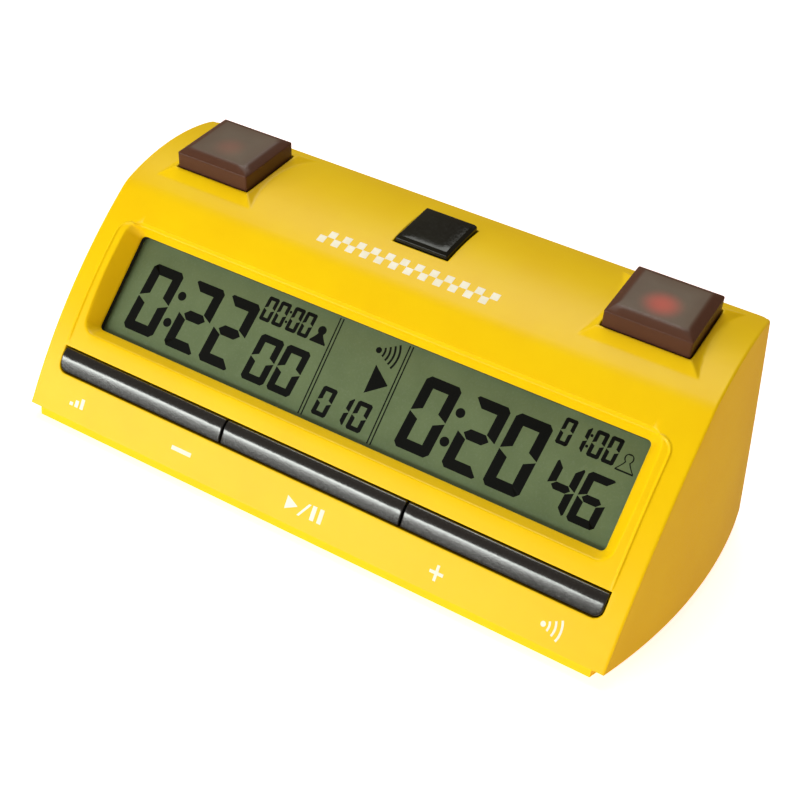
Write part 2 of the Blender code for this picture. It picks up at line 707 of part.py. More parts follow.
def make_key_slot_cutter():
    """Square corners above and round ones below."""
    slot = box((KEY_ROW_WIDTH, KEY_ROW_HEIGHT, 2 * KEY_DEPTH))
    bevel_edges(slot, lambda m, e: upright(m, e) and m.y < 0, KEY_SLOT_CORNER, 4)
    return new_object("key_slot", slot, parent=KEYS)


def make_base_plate():
    base = floor_plate("base_plate", BASE_SIDE_INSET, BASE_FRONT_INSET, FOOT_DROP, BASE_TOP, YELLOW_ABS)
    outer = SHELL_WALL + UPSTAND_INSET
    inner = outer + UPSTAND_WALL
    top = EDGE_Z + UPSTAND_HEIGHT
    upstand = floor_plate("upstand", outer, outer + UPSTAND_FRONT_INSET, BASE_TOP - OVERCUT, top)
    cut(upstand, floor_plate(
        "upstand_hollow", inner, inner + UPSTAND_FRONT_INSET, BASE_TOP - OVERCUT / 2, top + OVERCUT
    ))
    unite(base, upstand)
    for i, (x, y) in enumerate(SCREW_PLACES, 1):
        tower = cylinder(
            SCREW_HEAD_RADIUS + RUNNING_GAP + SCREW_TOWER_WALL, FOOT_DROP + OVERCUT,
            EDGE_Z + SCREW_BOSS_START - GAP, (x, y), 24,
        )
        unite(base, new_object(f"screw_tower_{i}", tower))
    tub = box_between(
        (-BAY_LENGTH / 2 - 2 * BAY_WALL - DOOR_TONGUE, BAY_FRONT_Y - BAY_WALL, FOOT_DROP + OVERCUT),
        (BAY_LENGTH / 2 + 2 * BAY_WALL + DOOR_TONGUE, BAY_BACK_Y + BAY_WALL,
         BAY_FLOOR + BAY_HEIGHT + BAY_WALL),
    )
    rails = box_between(
        (-BAY_LENGTH / 2 - 2 * BAY_WALL - DOOR_TONGUE, BAY_BACK_Y, FOOT_DROP + OVERCUT),
        (BAY_LENGTH / 2 + 2 * BAY_WALL + DOOR_TONGUE, BACK_FOOT.x - BASE_SIDE_INSET - RAIL_INSET, top),
    )
    unite(base, new_object("bay_tub", tub), new_object("door_rails", rails))
    hollow = box_between(
        (-BAY_LENGTH / 2, BAY_FRONT_Y, FOOT_DROP - OVERCUT),
        (BAY_LENGTH / 2, BAY_BACK_Y, BAY_FLOOR + BAY_HEIGHT),
    )
    out = BACK_FOOT.x + OVERCUT
    doorway = box_between(
        (-DOOR_HALF_WIDTH - GAP, BAY_FRONT_Y - GAP, FOOT_DROP - OVERCUT),
        (DOOR_HALF_WIDTH + GAP, out, DOOR_TOP + GAP),
    )
    groove = box_between(
        (-DOOR_HALF_WIDTH - DOOR_TONGUE - GAP, BAY_FRONT_Y - GAP,
         DOOR_TOP - DOOR_TONGUE_THICKNESS - GAP),
        (DOOR_HALF_WIDTH + DOOR_TONGUE + GAP, out, DOOR_TOP + GAP),
    )
    cut(base, new_object("bay_hollow", hollow), new_object("doorway", doorway),
        new_object("door_groove", groove))
    for i, (x, y) in enumerate(SCREW_PLACES, 1):
        head = cylinder(
            SCREW_HEAD_RADIUS + RUNNING_GAP, FOOT_DROP - OVERCUT, SCREW_LEDGE, (x, y), 20
        )
        shank = cylinder(
            SCREW_SHANK_RADIUS + PILOT_GAP, SCREW_LEDGE - OVERCUT / 2,
            SCREW_LEDGE + SCREW_TOWER_WALL + OVERCUT, (x, y), 12,
        )
        cut(base, new_object(f"head_recess_{i}", head), new_object(f"shank_hole_{i}", shank))
    for i, (x, y) in enumerate(foot_places(), 1):
        sink = cylinder(
            FOOT_RADIUS + GAP, FOOT_DROP - OVERCUT, FOOT_DROP + FOOT_SINK + GAP, (x, y), 24
        )
        cut(base, new_object(f"foot_recess_{i}", sink))
    knob_slot = box_between(
        (-POWER_KNOB[0] / 2 - RUNNING_GAP, -POWER_KNOB[1] / 2 - RUNNING_GAP, FOOT_DROP - OVERCUT),
        (POWER_KNOB[0] / 2 + POWER_TRAVEL + RUNNING_GAP, POWER_KNOB[1] / 2 + RUNNING_GAP,
         BASE_TOP + OVERCUT),
    )
    cut(base, new_object("power_slot", knob_slot, place=(POWER_X, FRONT_Y + POWER_DEPTH, 0)))
    for i in range(SOUND_HOLE_COUNT):
        angle = 2 * math.pi * i / SOUND_HOLE_COUNT
        at = (
            BUZZER_X + SOUND_HOLE_RING * math.cos(angle),
            FRONT_Y + POWER_DEPTH + SOUND_HOLE_RING * math.sin(angle),
        )
        hole = cylinder(SOUND_HOLE_RADIUS, FOOT_DROP - OVERCUT, BASE_TOP + OVERCUT, at, 10)
        cut(base, new_object(f"sound_hole_{i + 1}", hole))
    return smooth(base, 30)


def foot_places():
    """Feet near the four corners, in from the floor's outline."""
    front_y, back_y = FRONT_Y + FOOT_EDGE_Y, BACK_FOOT.x - FOOT_EDGE_Y
    return [
        (side * (floor_half_width(y) - FOOT_EDGE_X), y) for y in (front_y, back_y) for side in (-1, 1)
    ]


def make_feet():
    names = ("front_left", "front_right", "rear_left", "rear_right")
    top = FOOT_DROP + FOOT_SINK
    for name, (x, y) in zip(names, foot_places()):
        profile = [
            (0, top), (FOOT_RADIUS, top), (FOOT_RADIUS, FOOT_BEVEL), (FOOT_RADIUS - FOOT_BEVEL, 0),
            (0, 0),
        ]
        smooth(turned(f"{name}_foot", profile, RUBBER, place=(x, y, 0)))


def make_battery_door():
    """A flat door with a tongue down each side, and grip ridges at its rear edge."""
    back = BACK_FOOT.x - BASE_SIDE_INSET
    front = BAY_FRONT_Y
    door = new_object("battery_door", box_between(
        (-DOOR_HALF_WIDTH, front, FOOT_DROP), (DOOR_HALF_WIDTH, back, DOOR_TOP)
    ), YELLOW_ABS)
    tongues = box_between(
        (-DOOR_HALF_WIDTH - DOOR_TONGUE, front, DOOR_TOP - DOOR_TONGUE_THICKNESS),
        (DOOR_HALF_WIDTH + DOOR_TONGUE, back, DOOR_TOP),
    )
    unite(door, new_object("door_tongues", tongues))
    for i in range(DOOR_GRIP_COUNT):
        y = back - DOOR_GRIP_START - i * DOOR_GRIP_PITCH
        groove = box((DOOR_GRIP_LENGTH, DOOR_GRIP_WIDTH, 2 * DOOR_GRIP_SINK), (0, y, FOOT_DROP))
        cut(door, new_object(f"door_grip_{i + 1}", groove))


def screw_piece(name, shank, head, head_height, length, place, turn, parent=None):
    """A pan-head screw whose head is above z = 0 and whose shank points down, before it is turned."""
    profile = [
        (0, head_height * 0.55),
        (head * 0.35, head_height * 0.55),
        (head * 0.45, head_height),
        (head * 0.75, head_height * 0.9),
        (head, head_height * 0.4),
        (head, 0),
        (shank, 0),
        (shank, -length * 0.85),
        (0, -length),
    ]
    return smooth(turned(name, profile, STEEL, parent, place, turn, steps=16))


def make_housing_screws():
    for i, (x, y) in enumerate(SCREW_PLACES, 1):
        screw_piece(
            f"housing_screw_{i}", SCREW_SHANK_RADIUS, SCREW_HEAD_RADIUS, SCREW_HEAD_HEIGHT,
            SCREW_LENGTH, (x, y, SCREW_LEDGE - GAP), (math.pi, 0, 0),
        )


# ---------------------------------------------------------------- display


def slab(name, half_width_x, low_y, high_y, low, high, look, parent):
    return new_object(
        name, box_between((-half_width_x, low_y, low), (half_width_x, high_y, high)), look, parent
    )


def make_display():
    h = LCD_HALF_HEIGHT
    slab(
        "front_polarizer", LCD_HALF_WIDTH, -h, h, LCD_TOP + GAP, -GLASS_SINK, LCD_GREEN, DISPLAY
    )
    slab("lcd_panel", LCD_HALF_WIDTH, -h, h, LCD_BOTTOM, LCD_TOP, GLASS, DISPLAY)
    strip_high = -h + CONNECTOR_WIDTH + GAP
    slab(
        "zebra_connector", LCD_HALF_WIDTH - CONNECTOR_INSET, -h + GAP, strip_high,
        MAIN_BOARD_TOP + GAP, LCD_BOTTOM - GAP, ELASTOMER, DISPLAY,
    )
    outer_x, outer_y = LCD_HALF_WIDTH + GAP + LCD_FRAME_WALL, h + GAP + LCD_FRAME_WALL
    frame = slab(
        "lcd_frame", outer_x, -outer_y, outer_y, MAIN_BOARD_TOP + GAP, BEZEL_TOP, BLACK_ABS, DISPLAY
    )
    seat = box_between(
        (-LCD_HALF_WIDTH - GAP, -h - GAP, MAIN_BOARD_TOP), (LCD_HALF_WIDTH + GAP, h + GAP, BEZEL_BOTTOM)
    )
    opening = window_block(BEZEL_BOTTOM - OVERCUT, BEZEL_TOP + OVERCUT)
    cut(frame, new_object("lcd_seat", seat, parent=DISPLAY),
        new_object("lcd_opening", opening, parent=DISPLAY))


def make_main_board():
    top, bottom = MAIN_BOARD_TOP, MAIN_BOARD_TOP - BOARD_THICKNESS
    width = LCD_HALF_WIDTH + LCD_FRAME_WALL
    board = slab("main_board", width, -MAIN_BOARD_LOW, MAIN_BOARD_HIGH, bottom, top, BOARD, DISPLAY)
    screws = [(x, MAIN_BOARD_HIGH - BOARD_SCREW_INSET) for x in TOP_BOARD_SCREWS]
    screws += [(x, LOW_BOARD_SCREW_Y) for x in LOW_BOARD_SCREWS]
    for i, (x, y) in enumerate(screws, 1):
        hole = cylinder(SMALL_SCREW_SHANK + PILOT_GAP, bottom - OVERCUT, top + OVERCUT, (x, y), 10)
        cut(board, new_object(f"board_hole_{i}", hole, parent=DISPLAY))
        screw_piece(
            f"board_screw_{i}", SMALL_SCREW_SHANK, SMALL_SCREW_HEAD, SMALL_SCREW_HEAD_HEIGHT,
            SMALL_SCREW_LENGTH, (x, y, bottom - GAP), (math.pi, 0, 0), DISPLAY,
        )
    under = bottom - GAP
    chip = [
        (0, 0), (CHIP_RADIUS * 0.55, -0.0001), (CHIP_RADIUS * 0.85, -CHIP_HEIGHT * 0.45),
        (CHIP_RADIUS, -CHIP_HEIGHT), (0, -CHIP_HEIGHT),
    ]
    smooth(turned("controller_chip", chip, EPOXY, DISPLAY, (*CHIP_AT, under - CHIP_HEIGHT),
                  (math.pi, 0, 0)), 50)
    crystal = new_object(
        "quartz_crystal", cylinder(CRYSTAL_RADIUS, 0, CRYSTAL_LENGTH, sides=16), TIN, DISPLAY,
        (*CRYSTAL_AT, under - CRYSTAL_RADIUS), (0, math.pi / 2, 0),
    )
    smooth(crystal)


# ---------------------------------------------------------------- switches on the boards


def tact_switch(name, parent, place, height=TACT_HEIGHT, side=TACT_SIDE):
    """A push switch: a square body with its round knob on top."""
    switch = new_object(
        name, box_between((-side / 2, -side / 2, 0), (side / 2, side / 2, height)), BLACK_ABS,
        parent, place,
    )
    knob = cylinder(TACT_KNOB_RADIUS, height - OVERCUT / 2, height + TACT_KNOB_HEIGHT, sides=16)
    unite(switch, new_object(f"{name}_knob", knob, parent=parent, place=place))


# ---------------------------------------------------------------- keys


def crowned_bar(length, height, steps=10):
    """A bar that overruns a key all round, whose outer face is an arc KEY_CROWN high across it."""
    radius = ((height / 2) ** 2 + KEY_CROWN**2) / (2 * KEY_CROWN)
    half, foot = height / 2 + OVERCUT, KEY_UNDER - OVERCUT
    outline = [(-half, foot), (half, foot)]
    for i in range(steps + 1):
        y = half - 2 * half * i / steps
        outline.append((y, KEY_PROUD - radius + math.sqrt(radius**2 - y**2)))
    bm = bmesh.new()
    end = length / 2 + OVERCUT
    face = bm.faces.new([bm.verts.new((-end, y, z)) for y, z in outline])
    grown = bmesh.ops.extrude_face_region(bm, geom=[face])
    moved = [v for v in grown["geom"] if isinstance(v, bmesh.types.BMVert)]
    bmesh.ops.translate(bm, vec=(2 * end, 0, 0), verts=moved)
    return bm


def make_key(name, x, stems, outer_side):
    """One key: crowned bar, a flange that catches behind the slot, and a stem for each switch."""
    length = KEY_ROW_WIDTH / 3 - KEY_GAP
    height = KEY_ROW_HEIGHT - 2 * RUNNING_GAP
    bar = box_between(
        (-length / 2, -height / 2, KEY_UNDER), (length / 2, height / 2, KEY_PROUD + OVERCUT)
    )
    if outer_side:
        corner = KEY_SLOT_CORNER - RUNNING_GAP
        bevel_edges(
            bar, lambda m, e: upright(m, e) and m.x * outer_side > 0 and m.y < 0, corner, 4
        )
    key = new_object(name, bar, BLACK_ABS, KEYS, (x, 0, 0))
    crown = crowned_bar(length, height)
    combine(key, new_object(f"{name}_crown", crown, parent=KEYS, place=(x, 0, 0)), "INTERSECT")
    flange = box_between(
        (-length / 2 + KEY_FLANGE_INSET, -height / 2 - KEY_FLANGE - RUNNING_GAP, FLANGE_UNDER),
        (length / 2 - KEY_FLANGE_INSET, height / 2 + KEY_FLANGE + RUNNING_GAP,
         FLANGE_UNDER + KEY_FLANGE_THICKNESS),
    )
    unite(key, new_object(f"{name}_flange", flange, parent=KEYS, place=(x, 0, 0)))
    for i, stem_x in enumerate(stems, 1):
        stem = cylinder(
            KEY_STEM_RADIUS, KEY_UNDER - KEY_STEM_LENGTH, KEY_UNDER + OVERCUT, (stem_x, 0), 12
        )
        unite(key, new_object(f"{name}_stem_{i}", stem, parent=KEYS, place=(x, 0, 0)))


def make_keys():
    """The three keys, and the bracket they rock on. Returns where their stems are along the row."""
    spread = KEY_STEM_SPREAD
    pitch = KEY_ROW_WIDTH / 3
    make_key("left_key", -pitch, (-spread, spread), -1)
    make_key("middle_key", 0, (0,), 0)
    make_key("right_key", pitch, (-spread, spread), 1)
    stem_places = [-pitch - spread, -pitch + spread, 0, pitch - spread, pitch + spread]

    top = FLANGE_UNDER - BRACKET_CLEARANCE
    bracket = slab(
        "key_bracket", KEY_ROW_WIDTH / 2, -BRACKET_HEIGHT / 2, BRACKET_HEIGHT / 2,
        top - BRACKET_THICKNESS, top, BLACK_ABS, KEYS,
    )
    for side_name, side in SIDES.items():
        rib = box_between(
            (-FULCRUM_WIDTH / 2, -BRACKET_HEIGHT / 2, top - BRACKET_THICKNESS / 2),
            (FULCRUM_WIDTH / 2, BRACKET_HEIGHT / 2, FLANGE_UNDER - GAP),
        )
        unite(bracket, new_object(
            f"{side_name}_fulcrum", rib, parent=KEYS, place=(side * pitch, 0, 0)
        ))
    lean = KEY_TILT - FACE_ANGLE
    inside = Matrix.Rotation(KEY_TILT, 3, "X") @ Vector((0, 0, top - BRACKET_THICKNESS / 2))
    inside = in_slope(KEYS_AT + inside, DISPLAY_AT, FACE_ANGLE)
    post_top = inside.z + (LOW_BOARD_SCREW_Y - inside.y) * math.tan(lean)
    for side_name, x in zip(SIDES, LOW_BOARD_SCREWS):
        post = cylinder(SMALL_BOSS_RADIUS, MAIN_BOARD_TOP + GAP, post_top, (x, LOW_BOARD_SCREW_Y), 14)
        unite(bracket, new_object(f"{side_name}_bracket_post", post, parent=DISPLAY))
    for i, x in enumerate(stem_places, 1):
        hole = cylinder(
            TACT_KNOB_RADIUS + 2 * RUNNING_GAP, top - BRACKET_THICKNESS - OVERCUT, top + OVERCUT,
            (x, 0), 14,
        )
        cut(bracket, new_object(f"stem_hole_{i}", hole, parent=KEYS))
    for side_name, x in zip(SIDES, LOW_BOARD_SCREWS):
        pilot = cylinder(
            SMALL_SCREW_SHANK + PILOT_GAP, MAIN_BOARD_TOP - OVERCUT,
            MAIN_BOARD_TOP + SMALL_PILOT_DEPTH,
            (x, LOW_BOARD_SCREW_Y), 10,
        )
        cut(bracket, new_object(f"{side_name}_bracket_pilot", pilot, parent=DISPLAY))
    return stem_places


def make_key_switches(stem_places):
    """A switch under each stem, on the main board."""
    names = ("left_key_switch_1", "left_key_switch_2", "middle_key_switch",
             "right_key_switch_1", "right_key_switch_2")
    tip = Matrix.Rotation(KEY_TILT, 3, "X") @ Vector((0, 0, KEY_UNDER - KEY_STEM_LENGTH))
    at = in_slope(KEYS_AT + tip, DISPLAY_AT, FACE_ANGLE)
    room = at.z - (MAIN_BOARD_TOP + GAP) - TACT_KNOB_HEIGHT - KEY_TRAVEL - GAP
    for name, x in zip(names, stem_places):
        place = (x, at.y, MAIN_BOARD_TOP + GAP)
        tact_switch(name, DISPLAY, place, height=room, side=KEY_SWITCH_SIDE)


# ---------------------------------------------------------------- push buttons


def make_push_button(side_name, side):
    place = (side * BUTTON_SPACING / 2, 0, 0)
    half = (BUTTON_WIDTH / 2, BUTTON_LENGTH / 2)
    cap = new_object(
        f"{side_name}_button_cap",
        frustum(half, half, -BUTTON_SKIRT, BUTTON_SIDE), SMOKED, BUTTONS, place,
    )
    inner = (half[0] - BUTTON_CHAMFER_RUN, half[1] - BUTTON_CHAMFER_RUN)
    crown = frustum(half, inner, BUTTON_SIDE, BUTTON_SIDE + BUTTON_CHAMFER_RISE)
    unite(cap, new_object(f"{side_name}_cap_crown", crown, parent=BUTTONS, place=place))
    inside = (half[0] - BUTTON_CAP_WALL, half[1] - BUTTON_CAP_WALL)
    hollow = frustum(
        inside, inside, -BUTTON_SKIRT - OVERCUT, BUTTON_SIDE + BUTTON_CHAMFER_RISE - BUTTON_CAP_WALL
    )
    cut(cap, new_object(f"{side_name}_cap_hollow", hollow, parent=BUTTONS, place=place))

    reach = (half[0] + BUTTON_CATCH, half[1] + BUTTON_CATCH)
    carrier = new_object(
        f"{side_name}_button_carrier", frustum(reach, reach, CARRIER_BOTTOM, CARRIER_TOP),
        BLACK_ABS, BUTTONS, place,
    )
    knob_top = BUTTON_BOARD_TOP + GAP + TACT_HEIGHT + TACT_KNOB_HEIGHT
    plunger = cylinder(
        PLUNGER_RADIUS, knob_top + GAP + BUTTON_TRAVEL, CARRIER_TOP - CARRIER_THICKNESS / 2,
        (0, PLUNGER_OFFSET), 16,
    )
    unite(carrier, new_object(f"{side_name}_plunger", plunger, parent=BUTTONS, place=place))
    eye = cylinder(LED_HOLE_RADIUS, CARRIER_BOTTOM - OVERCUT, CARRIER_TOP + OVERCUT, sides=20)
    cut(carrier, new_object(f"{side_name}_led_eye", eye, parent=BUTTONS, place=place))

    spring = tube(
        f"{side_name}_button_spring",
        coil_points(
            SPRING_RADIUS, SPRING_RADIUS, BUTTON_BOARD_TOP + GAP + SPRING_WIRE,
            CARRIER_BOTTOM - GAP - SPRING_WIRE, SPRING_TURNS,
        ),
        SPRING_WIRE, STEEL, BUTTONS,
    )
    spring.location = place

    tact_switch(
        f"{side_name}_button_switch", BUTTONS, (place[0], PLUNGER_OFFSET, BUTTON_BOARD_TOP + GAP)
    )
    dome_top = CARRIER_BOTTOM - BUTTON_TRAVEL + LED_TOP_CLEARANCE
    led = [
        (0, dome_top),
        (LED_RADIUS * 0.7, dome_top - LED_RADIUS * 0.3),
        (LED_RADIUS, dome_top - LED_RADIUS),
        (LED_RADIUS, dome_top - LED_BODY),
        (LED_COLLAR_RADIUS, dome_top - LED_BODY),
        (LED_COLLAR_RADIUS, BUTTON_BOARD_TOP + GAP),
        (0, BUTTON_BOARD_TOP + GAP),
    ]
    smooth(turned(f"{side_name}_led", led, RED_EPOXY, BUTTONS, place, steps=16), 50)


def make_button_board():
    top, bottom = BUTTON_BOARD_TOP, BUTTON_BOARD_TOP - BOARD_THICKNESS
    board = slab(
        "button_board", BUTTON_BOARD_WIDTH / 2, -BUTTON_BOARD_LENGTH / 2, BUTTON_BOARD_LENGTH / 2,
        bottom, top, BOARD, BUTTONS,
    )
    for side_name, side in SIDES.items():
        x = side * BUTTON_BOARD_SCREW_X
        hole = cylinder(SMALL_SCREW_SHANK + PILOT_GAP, bottom - OVERCUT, top + OVERCUT, (x, 0), 10)
        cut(board, new_object(f"{side_name}_button_board_hole", hole, parent=BUTTONS))
        screw_piece(
            f"{side_name}_button_board_screw", SMALL_SCREW_SHANK, SMALL_SCREW_HEAD,
            SMALL_SCREW_HEAD_HEIGHT, SMALL_SCREW_LENGTH, (x, 0, bottom - GAP), (math.pi, 0, 0),
            BUTTONS,
        )


def make_middle_button():
    """A low square button with a chamfered top, a flange that catches under the deck, and a stem."""
    half = (MIDDLE_WIDTH / 2, MIDDLE_LENGTH / 2)
    low = MIDDLE_PROUD - MIDDLE_BODY
    button = new_object(
        "middle_button", frustum(half, half, low, MIDDLE_PROUD - MIDDLE_CHAMFER), GLOSS_BLACK, MIDDLE
    )
    inner = (half[0] - MIDDLE_CHAMFER, half[1] - MIDDLE_CHAMFER)
    top = frustum(half, inner, MIDDLE_PROUD - MIDDLE_CHAMFER, MIDDLE_PROUD)
    unite(button, new_object("middle_button_top", top, parent=MIDDLE))
    reach = (half[0] + MIDDLE_CATCH, half[1] + MIDDLE_CATCH)
    flange = frustum(reach, reach, low, low + MIDDLE_CATCH)
    unite(button, new_object("middle_button_flange", flange, parent=MIDDLE))
    knob_top = BUTTON_BOARD_TOP + GAP + TACT_HEIGHT + TACT_KNOB_HEIGHT - MIDDLE_ON_BOARD.z
    stem = cylinder(PLUNGER_RADIUS, knob_top + GAP + MIDDLE_TRAVEL, low + OVERCUT, sides=16)
    unite(button, new_object("middle_button_stem", stem, parent=MIDDLE))
    tact_switch(
        "middle_button_switch", BUTTONS, (0, MIDDLE_ON_BOARD.y, BUTTON_BOARD_TOP + GAP)
    )


# ---------------------------------------------------------------- power and sound


def make_cells():
    """Two cells side by side, pointing opposite ways."""
    for i, side in enumerate((-1, 1), 1):
        half = CELL_LENGTH / 2
        nub = half + CELL_NUB_LENGTH
        profile = [
            (0, nub), (CELL_NUB_RADIUS, nub), (CELL_NUB_RADIUS, half), (CELL_RADIUS, half),
            (CELL_RADIUS, -half), (0, -half),
        ]
        cell = turned(
            f"battery_{i}", profile, CELL_WRAP,
            place=(0, FRONT_Y + BAY_DEPTH + side * CELL_SPACING / 2, CELL_Z),
            turn=(0, -side * math.pi / 2, 0), steps=28,
        )
        smooth(cell)


def make_contacts():
    """Plates at the bay's ends and a coil on each that presses a cell's flat end."""
    end = BAY_LENGTH / 2 - GAP
    low, high = BAY_FLOOR + GAP, BAY_FLOOR + BAY_HEIGHT - GAP
    y = FRONT_Y + BAY_DEPTH
    plates = {
        "link_contact": (-1, -1, 1), "positive_contact": (1, -1, 0), "negative_contact": (1, 0, 1),
    }
    for name, (end_side, from_cell, to_cell) in plates.items():
        near = y + from_cell * (BAY_WIDTH / 2 - GAP) + (GAP if from_cell == 0 else 0)
        far = y + to_cell * (BAY_WIDTH / 2 - GAP) - (GAP if to_cell == 0 else 0)
        xs = sorted((end_side * end, end_side * (end - CONTACT_THICKNESS)))
        new_object(name, box_between((xs[0], near, low), (xs[1], far, high)), NICKEL)
    for i, (side, end_side) in enumerate(((-1, -1), (1, 1)), 1):
        start = end - CONTACT_THICKNESS - GAP - CONTACT_SPRING_WIRE
        stop = CELL_LENGTH / 2 + GAP + CONTACT_SPRING_WIRE
        spring = tube(
            f"contact_spring_{i}",
            coil_points(
                CONTACT_SPRING_RADIUS, CONTACT_SPRING_RADIUS * CONTACT_SPRING_TAPER, 0, start - stop,
                CONTACT_SPRING_TURNS,
            ),
            CONTACT_SPRING_WIRE, NICKEL,
        )
        spring.location = (end_side * start, y + side * CELL_SPACING / 2, CELL_Z)
        spring.rotation_euler = (0, -end_side * math.pi / 2, 0)


def make_power_switch():
    """A slide switch over a slot in the base plate, with a knob that the finger moves."""
    at = (POWER_X, FRONT_Y + POWER_DEPTH, 0)
    body_low = BASE_TOP + POWER_BODY_RISE
    new_object("power_slider", box_between(
        (-POWER_KNOB[0] / 2, -POWER_KNOB[1] / 2, FOOT_DROP),
        (POWER_KNOB[0] / 2, POWER_KNOB[1] / 2, body_low + POWER_KNOB_ROOT),
    ), BLACK_ABS, place=at)
    middle = POWER_TRAVEL / 2
    case = new_object("power_switch", box_between(
        (middle - POWER_BODY[0] / 2, -POWER_BODY[1] / 2, body_low),
        (middle + POWER_BODY[0] / 2, POWER_BODY[1] / 2, body_low + POWER_BODY[2]),
    ), STEEL, place=at)
    slot = box_between(
        (-POWER_KNOB[0] / 2 - GAP, -POWER_KNOB[1] / 2 - GAP, body_low - OVERCUT),
        (POWER_KNOB[0] / 2 + POWER_TRAVEL + GAP, POWER_KNOB[1] / 2 + GAP,
         body_low + POWER_KNOB_ROOT + GAP),
    )
    cut(case, new_object("power_switch_slot", slot, place=at))


def make_buzzer():
    """A shallow cup, open towards the sound holes."""
    low = BASE_TOP + GAP
    high = low + BUZZER_HEIGHT
    inner = BUZZER_RADIUS - BUZZER_WALL
    profile = [
        (0, high), (BUZZER_RADIUS, high), (BUZZER_RADIUS, low), (inner, low),
        (inner, high - BUZZER_PLATE), (0, high - BUZZER_PLATE),
    ]
    smooth(turned("buzzer", profile, BRASS, place=(BUZZER_X, FRONT_Y + POWER_DEPTH, 0), steps=28))


def make_ribbon_cable():
    """A flat ribbon in one bend between the two boards' undersides."""
    board_back = MAIN_BOARD_TOP - BOARD_THICKNESS - GAP
    turn = Matrix.Rotation(FACE_ANGLE, 3, "X")
    start = DISPLAY_AT + turn @ Vector((0, MAIN_BOARD_HIGH - RIBBON_FROM_MAIN_TOP, board_back))
    turn_top = Matrix.Rotation(BUTTON_TILT, 3, "X")
    end = BUTTONS_AT + turn_top @ Vector(
        (0, -BUTTON_BOARD_LENGTH / 2 + RIBBON_FROM_BUTTON_FRONT,
         BUTTON_BOARD_TOP - BOARD_THICKNESS - GAP)
    )
    chord = end - start
    middle = (start + end) / 2
    away = Vector((0, chord.z, -chord.y)).normalized()
    reach = max(RIBBON_BEND_RADIUS, chord.length / 2)
    centre = middle + away * math.sqrt(reach**2 - (chord.length / 2) ** 2)
    first = math.atan2(start.z - centre.z, start.y - centre.y)
    last = math.atan2(end.z - centre.z, end.y - centre.y)
    while last < first:
        last += 2 * math.pi
    steps = 10
    bm = bmesh.new()
    rows = []
    for i in range(steps + 1):
        angle = first + (last - first) * i / steps
        y, z = centre.y + reach * math.cos(angle), centre.z + reach * math.sin(angle)
        rows.append([bm.verts.new((side * RIBBON_WIDTH / 2, y, z)) for side in (-1, 1)])
    for near, far in zip(rows, rows[1:]):
        bm.faces.new((near[0], near[1], far[1], far[0]))
    ribbon = new_object("ribbon_cable", bm, RIBBON, place=(RIBBON_X, 0, 0))
    solid = ribbon.modifiers.new("thickness", "SOLIDIFY")
    solid.thickness = RIBBON_THICKNESS
    solid.offset = 1


def main():
    make_upper_shell()
    make_base_plate()
    make_feet()
    make_battery_door()
    make_housing_screws()
    make_display()
    make_main_board()
    make_key_switches(make_keys())
    make_button_board()
    for side_name, side in SIDES.items():
        make_push_button(side_name, side)
    make_middle_button()
    make_cells()
    make_contacts()
    make_power_switch()
    make_buzzer()
    make_ribbon_cable()


main()
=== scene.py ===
"""A wedge-shaped chess clock: housing, display, keys, push buttons and their finishes."""

import json
import math

import bmesh
import bpy
import numpy as np
from bpy.props import FloatProperty, PointerProperty, StringProperty
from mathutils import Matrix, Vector


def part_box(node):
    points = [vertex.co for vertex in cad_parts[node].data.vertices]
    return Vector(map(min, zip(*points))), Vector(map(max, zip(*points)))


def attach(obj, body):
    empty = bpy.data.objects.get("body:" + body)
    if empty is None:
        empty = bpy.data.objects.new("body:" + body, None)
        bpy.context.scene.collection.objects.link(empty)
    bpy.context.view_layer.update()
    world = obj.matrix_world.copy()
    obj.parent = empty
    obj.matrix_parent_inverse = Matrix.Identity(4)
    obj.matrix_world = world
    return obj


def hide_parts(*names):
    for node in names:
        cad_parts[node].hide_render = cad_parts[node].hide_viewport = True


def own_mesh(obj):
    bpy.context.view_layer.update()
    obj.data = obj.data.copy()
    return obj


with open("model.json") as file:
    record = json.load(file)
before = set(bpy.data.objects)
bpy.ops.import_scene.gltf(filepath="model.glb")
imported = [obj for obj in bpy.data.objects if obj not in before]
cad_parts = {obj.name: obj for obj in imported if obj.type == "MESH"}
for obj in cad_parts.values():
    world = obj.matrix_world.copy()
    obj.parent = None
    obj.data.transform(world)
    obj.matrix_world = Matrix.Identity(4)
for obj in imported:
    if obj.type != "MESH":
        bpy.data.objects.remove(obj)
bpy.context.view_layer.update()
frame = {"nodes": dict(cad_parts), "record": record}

bl_info = {
    "name": "Chess clock",
    "version": (1, 0, 0),
    "blender": (4, 5, 0),
    "location": "3D View > Sidebar > Chess clock",
    "description": "Builds a digital chess clock round its packed frame, piece by piece",
    "category": "Add Mesh",
}

MM = 0.001
EDGE_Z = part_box("upper_shell")[0].z  # the housing's lower edge
FRONT_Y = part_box("upper_shell")[0].y
BACK_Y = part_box("upper_shell")[1].y
STEPS = 2000  # points along each of the profile's three stretches


# ---------------------------------------------------------------- settings


def length(name, description, mm):
    """A length in metres, given here in millimetres."""
    return FloatProperty(
        name=name, description=description, default=mm * MM, min=0.0, unit="LENGTH", precision=5
    )


def turn(name, description, degrees):
    """An angle, given here in degrees."""
    return FloatProperty(
        name=name, description=description, default=math.radians(degrees), subtype="ANGLE"
    )


def colour(name, description, value):
    """A colour as six hex digits."""
    return StringProperty(name=name, description=description, default=value, maxlen=6)


